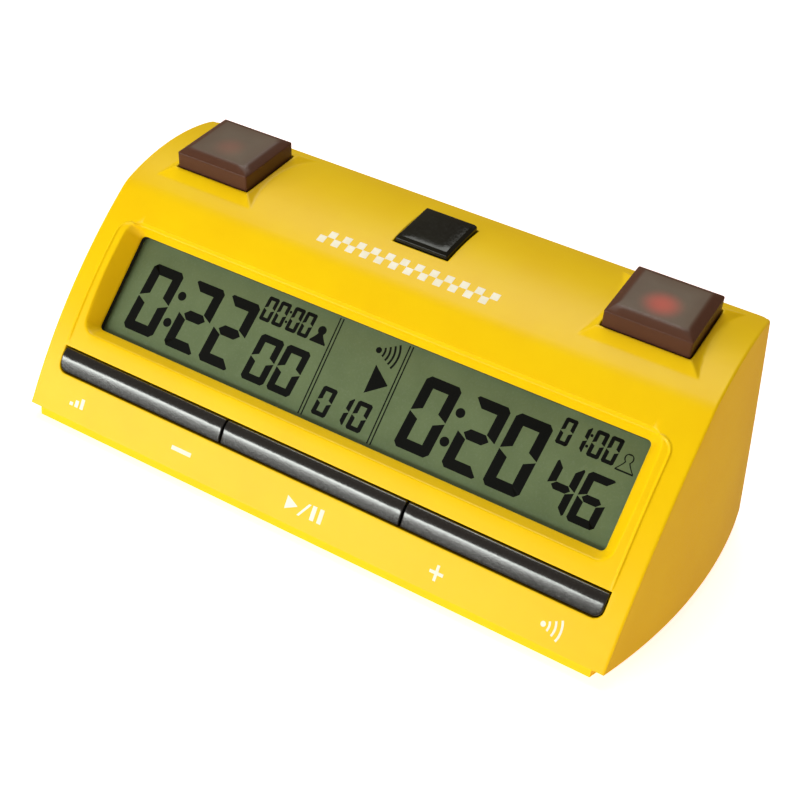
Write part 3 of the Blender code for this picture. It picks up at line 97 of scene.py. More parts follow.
class HousingSettings(bpy.types.PropertyGroup):
    face_width: length("Face width", "Along the front foot and the deck's edges", 158.7)
    bulge: length("Side bulge", "How far a side wall stands out at the floor", 8.15)
    bulge_depth: length("Bulge depth", "Front foot to where it stands out most", 52.7)
    ridge_depth: length("Ridge depth", "Front foot to the ridge", 36.3)
    ridge_height: length("Ridge height", "Ridge over the lower edge", 49.5)
    face_radius: length("Face radius", "Radius of the sloping face", 140.3)
    deck_depth: length("Deck depth", "Front foot to the deck's back edge", 73.8)
    deck_height: length("Deck height", "Deck's back edge over the lower edge", 54.9)
    deck_radius: length("Deck radius", "Radius of the deck", 60.0)
    back_corner: length("Back corner", "Radius of the upright corners at the back", 2.5)
    edge_round: length("Edge rounding", "Radius between the roof and the walls", 0.5)
    rim_round: length("Rim rounding", "Radius round every opening", 0.25)
    wall: length("Wall", "Thickness of the moulding", 2.2)
    rise_slope: FloatProperty(
        name="Pedestal slope", description="Outward run of a pedestal for each metre of fall",
        default=1.65,
    )
    rim: length("Pedestal rim", "Flat rim round a push button's hole", 0.4)
    bead_height: length("Bead height", "Fine raised line round the display", 0.32)
    bead_reach: length("Bead half width", "From its middle to its foot", 0.45)
    bead_x: length("Bead side", "Its upright lines, from the middle", 74.3)
    bead_z: length("Bead top", "Its upper line, over the table", 46.6)


class DisplaySettings(bpy.types.PropertyGroup):
    width: length("Window width", "Clear opening", 138.6)
    height: length("Window height", "Clear opening, along the slope", 26.1)
    depth: length("Window place", "Window centre from the front foot", 22.6)
    rise: length("Window rise", "Window centre over the lower edge", 29.3)
    tilt: turn("Tilt", "Slope of the display", 50.0)
    chamfer: FloatProperty(
        name="Chamfer slope", description="Outward run of the chamfer for each metre of rise",
        default=0.72,
    )
    corner: length("Window corner", "Radius of the opening's corners", 1.2)
    sink: length("Glass sink", "Film below the chamfer's foot", 1.8)
    ink: length("Segment height", "How far a dark segment shows over the film", 0.02)


class KeySettings(bpy.types.PropertyGroup):
    row_width: length("Row width", "The slot for the three keys", 149.1)
    row_height: length("Row height", "The slot, along the slope", 6.8)
    rise: length("Row rise", "Row centre over the lower edge", 12.4)
    corner: length("Slot corner", "Radius of the slot's lower corners", 2.4)
    gap: length("Gap", "Between a key and its neighbour", 0.5)
    clearance: length("Clearance", "Between a key and the slot", 0.4)
    proud: length("Proud", "Crown of a key over the face", 0.5)
    depth: length("Depth", "Crown of a key to its underside", 4.2)
    crown: length("Crown", "How far the top falls to its upper edge", 0.9)
    lower_fall: length("Lower fall", "How far the top falls to its lower edge", 0.62)
    edge: length("Edge rounding", "Along a key's upper edges", 0.3)


class ButtonSettings(bpy.types.PropertyGroup):
    width: length("Cap width", "Push button, along the clock", 21.1)
    length: length("Cap length", "Push button, front to back", 20.4)
    spacing: length("Spacing", "Between the push buttons' centres", 117.4)
    depth: length("Place", "Centre from the front foot", 54.7)
    rise: length("Rise", "Pedestal top over the lower edge", 55.6)
    tilt: turn("Tilt", "Slope of the pedestal tops", 8.8)
    side: length("Cap side", "Upright side that shows", 3.9)
    chamfer_rise: length("Chamfer rise", "Height of the cap's chamfer", 1.3)
    chamfer_run: length("Chamfer run", "Width of the cap's chamfer", 2.1)
    wall: length("Cap wall", "Thickness of the cap", 1.6)
    skirt: length("Cap skirt", "Cap below the pedestal's top", 3.1)
    hole_gap: length("Hole gap", "Between a button and its hole", 0.4)
    corner: length("Cap corner", "Radius of the cap's upright corners", 0.5)
    board: length("Board", "Board below the pedestal's top", 14.0)
    middle_width: length("Middle width", "Middle button, along the clock", 14.4)
    middle_length: length("Middle length", "Middle button, front to back", 15.4)
    middle_depth: length("Middle place", "Centre from the front foot", 55.5)
    middle_proud: length("Middle proud", "Its top over the deck", 1.2)
    middle_chamfer: length("Middle chamfer", "Its chamfer", 0.7)


class FinishSettings(bpy.types.PropertyGroup):
    housing: colour("Housing", "Moulded ABS of the housing", "F4CC00")
    key: colour("Keys", "Charcoal ABS of the keys", "0F1113")
    cap: colour("Caps", "Smoked polycarbonate of the push buttons", "7A6A5A")
    middle: colour("Middle button", "Polished ABS", "1D1E18")
    film: colour("Display film", "Polarising film of the display", "62744F")
    print_ink: colour("Print", "White ink of the symbols", "FBF7E6")
    floor: colour("Floor", "Plain pale floor", "ECECEC")


# ---------------------------------------------------------------- surfaces


def arc_centre(start, end, radius):
    """Centre of the arc of this radius from start to end that bulges up and forward."""
    along = (end - start) / np.linalg.norm(end - start)
    reach = math.sqrt(radius**2 - (np.linalg.norm(end - start) / 2) ** 2)
    return (start + end) / 2 + np.array((along[1], -along[0])) * reach


def to_slope(points, at, tilt):
    """World points in a slope's own axes: x along the clock, y up the slope, z out of it."""
    y, z = points[..., 1] - at[0], points[..., 2] - at[1]
    c, s = math.cos(tilt), math.sin(tilt)
    return np.stack((points[..., 0], y * c + z * s, z * c - y * s), -1)


def from_slope(points, at, tilt):
    """Points in a slope's own axes back in the world: turned by tilt, then moved to at."""
    c, s = math.cos(tilt), math.sin(tilt)
    y, z = points[..., 1], points[..., 2]
    return np.stack((points[..., 0], at[0] + y * c - z * s, at[1] + y * s + z * c), -1)


def soft_min(a, b, reach):
    """The lower of two heights, with a parabola reach wide where they cross."""
    h = np.clip(0.5 + 0.5 * (b - a) / reach, 0, 1)
    return b + (a - b) * h - reach * h * (1 - h)


def soft_max(a, b, reach):
    """The higher of two heights, rounded in the same way."""
    return -soft_min(-a, -b, reach)


def outside(x, y, half_x, half_y, radius=0.0):
    """Distance outside a rectangle whose corners have that radius; negative inside."""
    qx, qy = np.abs(x) - half_x + radius, np.abs(y) - half_y + radius
    return np.hypot(np.maximum(qx, 0), np.maximum(qy, 0)) + np.minimum(np.maximum(qx, qy), 0) - radius


def fillet(distance, radius):
    """Drop of a rounded rim at that distance from its opening: a quarter circle."""
    inward = np.clip(radius - distance, 0, radius)
    return radius - np.sqrt(radius**2 - inward**2)


def fill_lines(lines, step):
    """Sorted grid lines, with even ones added until no two are further apart than step."""
    lines = sorted(lines)
    lines = [a for a, b in zip(lines, lines[1:] + [1e9]) if b - a > 0.02 * MM]
    filled = [
        np.linspace(a, b, max(2, math.ceil((b - a) / step) + 1))[:-1]
        for a, b in zip(lines, lines[1:])
    ]
    return np.concatenate(filled + [lines[-1:]])


def grid_quads(rows, columns, around=False):
    """Four corners of each cell of a grid; around joins the last column to the first."""
    i, j = np.meshgrid(np.arange(rows - 1), np.arange(columns if around else columns - 1), indexing="ij")
    k = (j + 1) % columns
    return np.stack((i * columns + j, i * columns + k, (i + 1) * columns + k, (i + 1) * columns + j), -1)


def walled(top, bottom, kept=None):
    """A solid between two grids of the same shape: both skins, and a wall along every edge of
    the cells that are kept."""
    rows, columns = top.shape[:2]
    quads = grid_quads(rows, columns)
    if kept is None:
        kept = np.ones(quads.shape[:2], bool)
    count = rows * columns
    padded = np.pad(kept, 1)
    here, faces = padded[1:-1, 1:-1], [quads[kept], quads[kept][:, ::-1] + count]
    for first, shift in enumerate(((0, 1), (1, 2), (2, 1), (1, 0))):
        next_cell = padded[shift[0]: shift[0] + rows - 1, shift[1]: shift[1] + columns - 1]
        edge = quads[here & ~next_cell]
        a, b = edge[:, first], edge[:, (first + 1) % 4]
        faces.append(np.stack((b, a, a + count, b + count), -1))
    return np.concatenate((top.reshape(-1, 3), bottom.reshape(-1, 3))), np.concatenate(faces)


def rounded_loop(half_x, half_y, radii, per_corner=5, per_side=5):
    """Points round a rectangle, corner by corner from (+, +) anticlockwise: an arc at each
    corner and even steps along each side."""
    signs = ((1, 1), (-1, 1), (-1, -1), (1, -1))
    corners = []
    for k, ((sx, sy), r) in enumerate(zip(signs, radii)):
        angle = np.pi / 2 * (k + np.linspace(0, 1, per_corner))
        corners.append(np.stack((
            sx * (half_x - r) + r * np.cos(angle), sy * (half_y - r) + r * np.sin(angle)
        ), -1))
    parts = []
    for here, after in zip(corners, corners[1:] + corners[:1]):
        share = np.linspace(0, 1, per_side + 2)[1:-1, None]
        parts += [here, here[-1] + (after[0] - here[-1]) * share]
    return np.concatenate(parts)


def lofted(half_x, half_y, radii, levels, top=None, per_corner=5, per_side=5):
    """A closed solid of rounded rectangles. Each level is (inset, height, on_top): the loop at
    that inset, at that height, or at that height over the surface top(x, y)."""
    rings = []
    for inset, height, on_top in levels:
        hx, hy = max(half_x - inset, 0), max(half_y - inset, 0)
        corner = [min(max(r - inset, 0), hx, hy) for r in radii]
        loop = rounded_loop(hx, hy, corner, per_corner, per_side)
        z = np.full(len(loop), height)
        if on_top:
            z = z + top(loop[:, 0], loop[:, 1])
        rings.append(np.column_stack((loop, z)))
    rings = np.stack(rings)
    return rings.reshape(-1, 3), grid_quads(len(rings), rings.shape[1], around=True).reshape(-1, 4)


def plate(half_x, half_y, corner, low, thick):
    """A flat plate with rounded corners, from low up."""
    reach = min(half_x, half_y)
    heights = ((reach, low), (0, low), (0, low + thick), (reach, low + thick))
    return lofted(half_x, half_y, [corner] * 4, [(inset, z, False) for inset, z in heights])


def turned(profile, centre, steps=40):
    """A profile of (radius, height) points carried round an upright axis."""
    profile = np.array(profile, float)
    angle = np.linspace(0, 2 * np.pi, steps, endpoint=False)
    points = np.stack((
        centre[0] + profile[:, :1] * np.cos(angle),
        centre[1] + profile[:, :1] * np.sin(angle),
        np.repeat(profile[:, 1:], steps, 1),
    ), -1)
    return points.reshape(-1, 3), grid_quads(len(profile), steps, around=True).reshape(-1, 4)


def tube(path, radius, sides=10):
    """A round wire along a path: a circle in the plane across the path's direction."""
    along = np.gradient(path, axis=0)
    along /= np.linalg.norm(along, axis=1)[:, None]
    across = np.cross(along, (0, 0, 1.0))
    across /= np.linalg.norm(across, axis=1)[:, None]
    other = np.cross(across, along)
    angle = np.linspace(0, 2 * np.pi, sides, endpoint=False)
    ring = across[:, None] * np.cos(angle)[:, None] + other[:, None] * np.sin(angle)[:, None]
    points = path[:, None] + radius * ring
    ends = [np.broadcast_to(path[k], (1, sides, 3)) for k in (0, -1)]
    points = np.concatenate((ends[0], points, ends[1]))
    return points.reshape(-1, 3), grid_quads(len(points), sides, around=True).reshape(-1, 4)


def joined(*solids):
    """Several (points, faces) pairs as one."""
    points, faces, start = [], [], 0
    for p, f in solids:
        points.append(p)
        faces.append(f + start)
        start += len(p)
    return np.concatenate(points), np.concatenate(faces)


def add_piece(name, solid, finish, body="root", replaces=(), sharp=40, outward=False):
    """Makes the mesh, closes its seams and poles, and says what it rides on and stands for."""
    points, faces = solid
    mesh = bpy.data.meshes.new(name)
    mesh.from_pydata(points.tolist(), [], faces.tolist())
    bm = bmesh.new()
    bm.from_mesh(mesh)
    bmesh.ops.remove_doubles(bm, verts=bm.verts, dist=1e-6)
    bmesh.ops.dissolve_degenerate(bm, edges=bm.edges, dist=1e-7)
    loose = [v for v in bm.verts if not v.link_faces]
    bmesh.ops.delete(bm, geom=loose, context="VERTS")
    if outward:
        bmesh.ops.recalc_face_normals(bm, faces=bm.faces)
    bm.to_mesh(mesh)
    bm.free()
    mesh.shade_smooth()
    mesh.set_sharp_from_angle(angle=math.radians(sharp))
    piece = bpy.data.objects.new(name, mesh)
    bpy.context.scene.collection.objects.link(piece)
    mesh.materials.append(FINISHES[finish])
    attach(piece, body)
    if replaces:
        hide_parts(*replaces)
    return piece


# ---------------------------------------------------------------- the housing


def dense_profile(s):
    """Front foot to back foot as (y, z) points with their length along: the face's arc, the
    deck's arc and the straight back, with a parabola over the ridge and the back edge."""
    foot = np.array((FRONT_Y, EDGE_Z))
    ridge = foot + (s.ridge_depth, s.ridge_height)
    deck_back = foot + (s.deck_depth, s.deck_height)
    pieces = []
    for start, end, radius in ((foot, ridge, s.face_radius), (ridge, deck_back, s.deck_radius)):
        centre = arc_centre(start, end, radius)
        a, b = (math.atan2(p[1] - centre[1], p[0] - centre[0]) for p in (start, end))
        angle = np.linspace(a, b if b < a else b - 2 * np.pi, STEPS + 1)
        pieces.append(centre + radius * np.stack((np.cos(angle), np.sin(angle)), -1))
    share = np.linspace(0, 1, STEPS + 1)[:, None]
    pieces.append(deck_back + (np.array((BACK_Y, EDGE_Z)) - deck_back) * share)
    points = np.concatenate((pieces[0], pieces[1][1:], pieces[2][1:]))
    run = np.concatenate(([0], np.cumsum(np.linalg.norm(np.diff(points, axis=0), axis=1))))
    corners = run[STEPS], run[2 * STEPS]
    for middle, reach in zip(corners, (1.6 * MM, 1.1 * MM)):
        a, b = (
            np.array([np.interp(middle + k * reach, run, points[:, i]) for i in (0, 1)])
            for k in (-1, 1)
        )
        c = np.array([np.interp(middle, run, points[:, i]) for i in (0, 1)])
        inside = np.abs(run - middle) < reach
        t = ((run[inside] - middle) / reach / 2 + 0.5)[:, None]
        points[inside] = (1 - t) ** 2 * a + 2 * t * (1 - t) * c + t**2 * b
    return run, points, corners


def floor_half_width(s, y):
    """Half width of the lower edge: an arc in plan."""
    radius = (s.bulge_depth**2 + s.bulge**2) / (2 * s.bulge)
    return s.face_width / 2 + s.bulge - radius + np.sqrt(radius**2 - (y - FRONT_Y - s.bulge_depth) ** 2)


def slopes(scene):
    """Where each slope's axes start, as (y, z), and its tilt."""
    h, d, k, b = scene.clock_housing, scene.clock_display, scene.clock_keys, scene.clock_buttons
    _, points, _ = dense_profile(h)
    key_z = EDGE_Z + k.rise
    foot, ridge = points[0], np.array((FRONT_Y + h.ridge_depth, EDGE_Z + h.ridge_height))
    centre = arc_centre(foot, ridge, h.face_radius)
    key_y = centre[0] - math.sqrt(h.face_radius**2 - (key_z - centre[1]) ** 2)
    middle_y = FRONT_Y + b.middle_depth
    on_deck = points[STEPS: 2 * STEPS + 1]
    middle_z = float(np.interp(middle_y, on_deck[:, 0], on_deck[:, 1]))
    return {
        "display": ((FRONT_Y + d.depth, EDGE_Z + d.rise), d.tilt),
        "keys": ((key_y, key_z), math.atan2(centre[0] - key_y, key_z - centre[1])),
        "buttons": ((FRONT_Y + b.depth, EDGE_Z + b.rise), b.tilt),
        "middle": ((middle_y, middle_z), b.tilt),
    }


def round_opening(local, half_x, half_y, radii, reach=2.5 * MM):
    """Bends grid lines round an opening's corners: a point on the edge moves on to the corner's
    arc, and points beyond the edge follow it less the further out they are."""
    x, y = local[..., 0].copy(), local[..., 1].copy()
    for sx, sy, radius in ((1, 1, radii[0]), (-1, 1, radii[0]), (-1, -1, radii[1]), (1, -1, radii[1])):
        if not radius:
            continue
        px, py = half_x - sx * local[..., 0], half_y - sy * local[..., 1]
        qx, qy = radius - np.clip(px, 0, radius), radius - np.clip(py, 0, radius)
        size = np.maximum(np.hypot(qx, qy), 1e-12)
        pull = 1 - np.maximum(qx, qy) / size
        away = np.clip(1 - np.maximum(np.maximum(-px, -py), 0) / reach, 0, 1)
        x -= sx * qx * pull * away
        y -= sy * qy * pull * away
    return np.stack((x, y, local[..., 2]), -1)


def housing_surface(scene):
    """The housing as one grid: rings across the clock at each depth, from the left floor edge
    up the wall, over the roof and down the right wall. Openings are cells left out, pedestals,
    chamfer and bead are heights over it, and the inside is the same grid a wall further in."""
    h, d, k, b = scene.clock_housing, scene.clock_display, scene.clock_keys, scene.clock_buttons
    place = slopes(scene)
    run, profile, (ridge_s, back_s) = dense_profile(h)

    def along(slope, values, low=0, high=2 * STEPS):
        """Places along the profile of heights y in a slope's own axes."""
        at, tilt = place[slope]
        part = np.column_stack((np.zeros(high - low), profile[low:high]))
        return [float(np.interp(v, to_slope(part, at, tilt)[:, 1], run[low:high])) for v in values]

    key_x, key_y = k.row_width / 2, k.row_height / 2
    win_x, win_y = d.width / 2, d.height / 2
    hole_x, hole_y = b.width / 2 + b.hole_gap, b.length / 2 + b.hole_gap
    mid_x, mid_y = b.middle_width / 2 + b.hole_gap, b.middle_length / 2 + b.hole_gap
    rim = h.rim_round
    rims = (0, rim * 0.15, rim * 0.45, rim, 2 * rim)
    bead_s = float(np.interp(h.bead_z, profile[:STEPS, 1], run[:STEPS]))
    steps = np.array((0, 0.35, 0.8, 1.3, 1.85)) * MM
    lines = [0, run[-1]]
    lines += along("keys", [s * (key_y + e) for s in (-1, 1) for e in rims], high=STEPS)
    lines += along("keys", [-key_y + e for e in (*steps, k.corner)], high=STEPS)
    corner = [win_y - e * MM for e in (0.15, 0.4, 0.75, 1.2)]
    window = [win_y + e * MM for e in (0, 0.5, 1.0, 1.3, 1.6, 1.9, 2.2, 2.6)] + corner
    lines += along("display", [s * v for s in (-1, 1) for v in window], high=STEPS)
    lines += [bead_s + e * MM for e in (-4.2, -3.8, -3.4, -3, -2.6, -2.2, -1.8, -1.4, -1.1, -0.8,
                                       -0.6, -0.45, -0.3, -0.15, 0, 0.15, 0.3, 0.45, 0.6)]
    lines += [ridge_s + e * MM for e in (-1.6, -1.2, -0.8, -0.4, 0, 0.4, 0.8, 1.2, 1.6)]
    lines += [back_s + e * MM for e in (-1.1, -0.7, -0.35, 0, 0.35, 0.7, 1.1, 2, 3.5)]
    beyond = [*rims[:-1], h.rim, 2 * h.rim, *(h.rim + np.arange(0.35, 7.4, 0.35) * MM)]
    lines += along("buttons", [s * (hole_y + e) for s in (-1, 1) for e in beyond], STEPS)
    lines += along("middle", [s * (mid_y + e) for s in (-1, 1) for e in rims], STEPS)
    v = fill_lines(lines, 2.6 * MM)
    v = v[(v >= 0) & (v <= run[-1])]
    edge = h.face_width / 2 - 4.5 * MM
    lines = [0, edge, mid_x, win_x]
    lines += [mid_x + e for e in rims]
    lines += [b.spacing / 2 + s * (hole_x + e) for s in (-1, 1) for e in (*rims[:-1], h.rim)]
    lines += [b.spacing / 2 - (hole_x + h.rim + e * MM) for e in np.arange(0.35, 6.6, 0.35)]
    lines += [win_x - e * MM for e in (0.15, 0.4, 0.75, 1.2)]
    lines += list(np.arange(win_x + 0.3 * MM, edge, 0.3 * MM))
    lines += [key_x - e for e in (*steps, k.corner)] + [key_x + rim * 0.15]
    half = fill_lines([x for x in lines if x <= edge + 1e-9], 3.2 * MM)

    y, z = np.interp(v, run, profile[:, 0]), np.interp(v, run, profile[:, 1])
    tangent = np.gradient(profile, run, axis=0)
    width = int(3.0 * MM / run[-1] * len(run))
    kernel = np.ones(2 * width + 1) / (2 * width + 1)
    smooth = [np.convolve(np.pad(tangent[:, i], width, "edge"), kernel, "valid") for i in (0, 1)]
    ty, tz = (np.interp(v, run, t) for t in smooth)
    size = np.hypot(ty, tz)
    ny, nz = -tz / size, ty / size

    deck_centre = arc_centre(
        np.array((FRONT_Y + h.ridge_depth, EDGE_Z + h.ridge_height)),
        np.array((FRONT_Y + h.deck_depth, EDGE_Z + h.deck_height)), h.deck_radius,
    )
    deck_z = deck_centre[1] + np.sqrt(np.maximum(h.deck_radius**2 - (y - deck_centre[0]) ** 2, 0))
    floor = floor_half_width(h, y)
    on_back = v > back_s
    high = np.where(on_back, deck_z, z)  # the walls lean in to the deck carried on backwards
    lean = (floor - h.face_width / 2) / np.maximum(high - EDGE_Z, 1e-5)
    top_half = np.where(on_back, h.face_width / 2 + lean * (high - z), h.face_width / 2)
    drop = np.maximum(z - EDGE_Z, 0)

    round_line = np.minimum(h.edge_round, drop / 2)
    ring_fade = np.clip(1 - (v - back_s + 1.0 * MM) / (2.0 * MM), 0, 1)
    near = np.array((0, 0.2, 0.42, 0.66, 0.82, 1.0))
    further = round_line[:, None] + (drop - round_line)[:, None] * np.linspace(0, 1, 10)[None, 1:]
    away = np.concatenate((near[None] * round_line[:, None], further), 1)
    beside = np.array((3.6, 2.8, 2.1, 1.5, 1.15, 0.9, 0.72, 0.58, 0.38, 0.18)) * MM

    def ring(top_half, floor_half, y, z_top, drop, away, fade, shrink=0.0):
        """One side of every ring, from the middle of the roof to the floor edge."""
        rows = len(y)
        scale = (top_half - shrink - edge) / (h.face_width / 2 - edge)
        margin = edge + (h.face_width / 2 - edge - beside)[None] * scale[:, None]
        x_roof = np.concatenate((np.repeat(half[None], rows, 0), margin), 1)
        share = away / np.maximum(drop, 1e-9)[:, None]
        x_wall = top_half[:, None] + (floor_half - top_half)[:, None] * share
        z_wall = z_top[:, None] - away
        if fade is not None:
            r = np.maximum(round_line * fade, 1e-9)[:, None]
            b_roof = np.clip(r - (top_half[:, None] - x_roof), 0, r)
            size = np.hypot(b_roof, r)
            x_new = top_half[:, None] - r + b_roof * r / size
            z_roof = z_top[:, None] - r + r * r / size
            x_roof = np.where(b_roof > 0, x_new, x_roof)
            z_roof = np.where(b_roof > 0, z_roof, z_top[:, None])
            a_wall = np.clip(r - away, 0, r)
            size = np.hypot(a_wall, r)
            x_wall = np.where(a_wall > 0, x_wall - r + r * r / size, x_wall)
            z_wall = np.where(a_wall > 0, z_top[:, None] - r + a_wall * r / size, z_wall)
        else:
            z_roof = np.repeat(z_top[:, None], x_roof.shape[1], 1)
        x, zz = np.concatenate((x_roof, x_wall), 1), np.concatenate((z_roof, z_wall), 1)
        return np.stack((x, np.repeat(y[:, None], x.shape[1], 1), zz), -1)

    base = ring(top_half, floor, y, z, drop, away, ring_fade)
    w = h.wall
    ridge = np.array((FRONT_Y + h.ridge_depth, EDGE_Z + h.ridge_height))
    centre = arc_centre(profile[0], ridge, h.face_radius)
    z_in = np.maximum(z - w * nz, EDGE_Z + np.arange(len(v)) * 0.02 * MM * (v < back_s))
    y_in = y - w * ny
    low_face = (v < ridge_s) & (z - w * nz < z_in)
    face_in = centre[0] - np.sqrt((h.face_radius - w) ** 2 - (z_in - centre[1]) ** 2)
    y_in = np.where(low_face, face_in, y_in)
    drop_in = np.maximum(z_in - EDGE_Z, 0)
    away_in = away * (drop_in / np.maximum(drop, 1e-9))[:, None]
    inner = ring(top_half - w, floor_half_width(h, y_in) - w, y_in, z_in, drop_in, away_in, None, w)

    def mirrored(side):
        """Both sides of every ring, from the right side alone."""
        left = side[:, ::-1] * (-1, 1, 1)
        return np.concatenate((left[:, :-1], side), 1)

    base, inner = mirrored(base), mirrored(inner)

    back_lean = (BACK_Y - (FRONT_Y + h.deck_depth)) / h.deck_height

    def round_back(points, inset):
        """Upright back corners: a square of radius r becomes a quarter disc."""
        r = h.back_corner - inset
        x, y, z = points[..., 0], points[..., 1], points[..., 2]
        plane = BACK_Y - (z - EDGE_Z) * back_lean - inset
        y_mid = np.minimum(y, plane)
        deck = deck_centre[1] + np.sqrt(np.maximum(h.deck_radius**2 - (y_mid - deck_centre[0]) ** 2, 0))
        wide = floor_half_width(h, y_mid)
        half_w = h.face_width / 2 + (wide - h.face_width / 2) * (deck - z) / (deck - EDGE_Z) - inset
        a, c = plane - y, half_w - np.abs(x)
        pa, pc = np.clip(r - a, 0, None), np.clip(r - c, 0, None)
        size = np.maximum(np.hypot(pa, pc), 1e-12)
        scale = np.maximum(pa, pc) / size
        both = (pa > 0) & (pc > 0) & (y > 0)
        y_new = plane - (r - pa * scale)
        x_new = np.sign(x) * (half_w - (r - pc * scale))
        return np.stack((np.where(both, x_new, x), np.where(both, y_new, y), z), -1)

    base = round_back(base, 0.0)
    inner = round_back(inner, w)

    roof = np.zeros(base.shape[1] - 1, bool)
    middle = base.shape[1] // 2
    count = len(half) + len(beside)
    roof[middle - count + 1: middle + count - 1] = True
    cell = (base[1:, 1:] + base[:-1, :-1] + base[1:, :-1] + base[:-1, 1:]) / 4
    kept = np.ones(cell.shape[:2], bool)
    outer = base.copy()
    on_face, on_deck = v < ridge_s, (v > ridge_s) & (v < back_s)
    cap_corners = (b.corner, b.corner)
    openings = (  # slope, middle, half sizes, corner radii above and below, rings, how far in
        ("keys", 0, key_x, key_y, (0, k.corner), on_face, w),
        ("display", 0, win_x, win_y, (d.corner, d.corner), on_face, 0.2 * MM),
        ("buttons", -b.spacing / 2, hole_x, hole_y, cap_corners, on_deck, b.skirt),
        ("buttons", b.spacing / 2, hole_x, hole_y, cap_corners, on_deck, b.skirt),
        ("middle", 0, mid_x, mid_y, (0.3 * MM, 0.3 * MM), on_deck, w),
    )
    is_roof = np.zeros(base.shape[1], bool)
    is_roof[middle - count: middle + count + 1] = True
    for slope, x0, half_x, half_y, radii, rows, _ in openings:
        at, tilt = place[slope]
        local = to_slope(outer, at, tilt) - (x0, 0, 0)
        local = round_opening(local, half_x, half_y, radii)
        where = rows[:, None] & is_roof[None]
        outer = np.where(where[..., None], from_slope(local + (x0, 0, 0), at, tilt), outer)
        middle_of = to_slope(cell, at, tilt)
        inside = (np.abs(middle_of[..., 0] - x0) < half_x) & (np.abs(middle_of[..., 1]) < half_y)
        kept &= ~(inside & (rows[1:] & rows[:-1])[:, None] & roof[None])

    rows = (v > ridge_s - 1 * MM) & (v < back_s + 1 * MM)
    at, tilt = place["buttons"]
    local = to_slope(outer, at, tilt)
    for side in (-1, 1):
        dx = np.abs(local[..., 0] - side * b.spacing / 2) - hole_x - h.rim
        dy = np.abs(local[..., 1]) - hole_y - h.rim
        q = soft_max(dx, dy, 0.12 * MM)
        q = (q + np.sqrt(q * q + (0.16 * MM) ** 2)) / 2
        raised = soft_max(local[..., 2], -q / h.rise_slope, 0.14 * MM)
        near = (dx < 9 * MM - h.rim) & (dy < 9 * MM - h.rim)
        local[..., 2] = np.where(near & (raised > local[..., 2]) & is_roof[None], raised, local[..., 2])
    outer = np.where(rows[:, None, None], from_slope(local, at, tilt), outer)

    at, tilt = place["display"]
    local = to_slope(outer, at, tilt)
    gap = outside(local[..., 0], local[..., 1], win_x, win_y, d.corner)
    lowered = soft_min(local[..., 2], np.maximum(gap, 0) / d.chamfer, 0.3 * MM)
    near = (gap < 8 * MM) & (v < ridge_s)[:, None] & is_roof[None]
    local[..., 2] = np.where(near, lowered, local[..., 2])
    outer = from_slope(local, at, tilt)

    top_s = along("keys", [key_y + 2 * rim], high=STEPS)[0]
    level = np.maximum(v - (top_s + bead_s) / 2, 0)[:, None]
    distance = np.abs(outside(outer[..., 0], np.broadcast_to(level, outer.shape[:2]), h.bead_x,
                              (bead_s - top_s) / 2, 3.5 * MM))
    swell = np.clip(1 - (distance / h.bead_reach) ** 2, 0, 1) ** 2 * h.bead_height
    swell = np.where(((v > top_s) & (v < ridge_s))[:, None] & is_roof[None], swell, 0)
    outer[..., 1] += swell * ny[:, None]
    outer[..., 2] += swell * nz[:, None]

    for slope, x0, half_x, half_y, radii, rows, sink in openings:
        at, tilt = place[slope]
        local = to_slope(outer, at, tilt) - (x0, 0, 0)
        lower = local[..., 1] < 0
        above, below = (outside(local[..., 0], local[..., 1], half_x, half_y, r) for r in radii)
        gap = np.where(lower, below, above)
        where = rows[:, None] & is_roof[None]
        under = to_slope(inner, at, tilt) - (x0, 0, 0)
        close = where & (gap < 1.3 * MM)
        under[..., 0] = np.where(close, local[..., 0], under[..., 0])
        under[..., 1] = np.where(close, local[..., 1], under[..., 1])
        if slope in ("middle", "keys"):
            under[..., 2] = np.where(close, np.minimum(local[..., 2] - 0.8 * MM, -w), under[..., 2])
        else:
            wide = where & (gap < (3.9 * MM if slope == "display" else 1.9 * MM))
            under[..., 2] = np.where(wide, np.maximum(under[..., 2], -sink), under[..., 2])
            under[..., 2] = np.where(close, -sink, under[..., 2])
        inner = np.where(where[..., None], from_slope(under + (x0, 0, 0), at, tilt), inner)
        if slope != "display":
            local[..., 2] -= np.where(where, fillet(np.maximum(gap, 0), rim), 0)
            outer = from_slope(local + (x0, 0, 0), at, tilt)
    return walled(outer, inner, kept)


# ---------------------------------------------------------------- patches for segments and print


def patch(*edges):
    """Flat grid through several lines of points of the same number, as rows."""
    return np.array(edges, float)


def disc(x, y, radius, steps=24):
    """A filled circle: straight strips between its lower and its upper half."""
    angle = np.linspace(0, np.pi, steps // 2 + 1)
    across, up = radius * np.cos(angle), radius * np.sin(angle)
    return patch(*(np.stack((x + across, y + side * up), -1) for side in (-1, 1)))


def ring_part(x, y, radius, thickness, start, end, steps=14):
    """A band of a ring between two angles in degrees."""
    angle = np.radians(np.linspace(start, end, steps))
    unit = np.stack((np.cos(angle), np.sin(angle)), -1)
    return patch((x, y) + unit * (radius - thickness / 2), (x, y) + unit * (radius + thickness / 2))


def block(x0, y0, x1, y1):
    """A rectangle from one corner to the other."""
    return patch(((x0, y0), (x1, y0)), ((x0, y1), (x1, y1)))


SEGMENTS = {
    "0": "abcdef", "1": "bc", "2": "abged", "3": "abgcd", "4": "fgbc", "5": "afgcd",
    "6": "afgcde", "7": "abc", "8": "abcdefg", "9": "abcdfg",
}


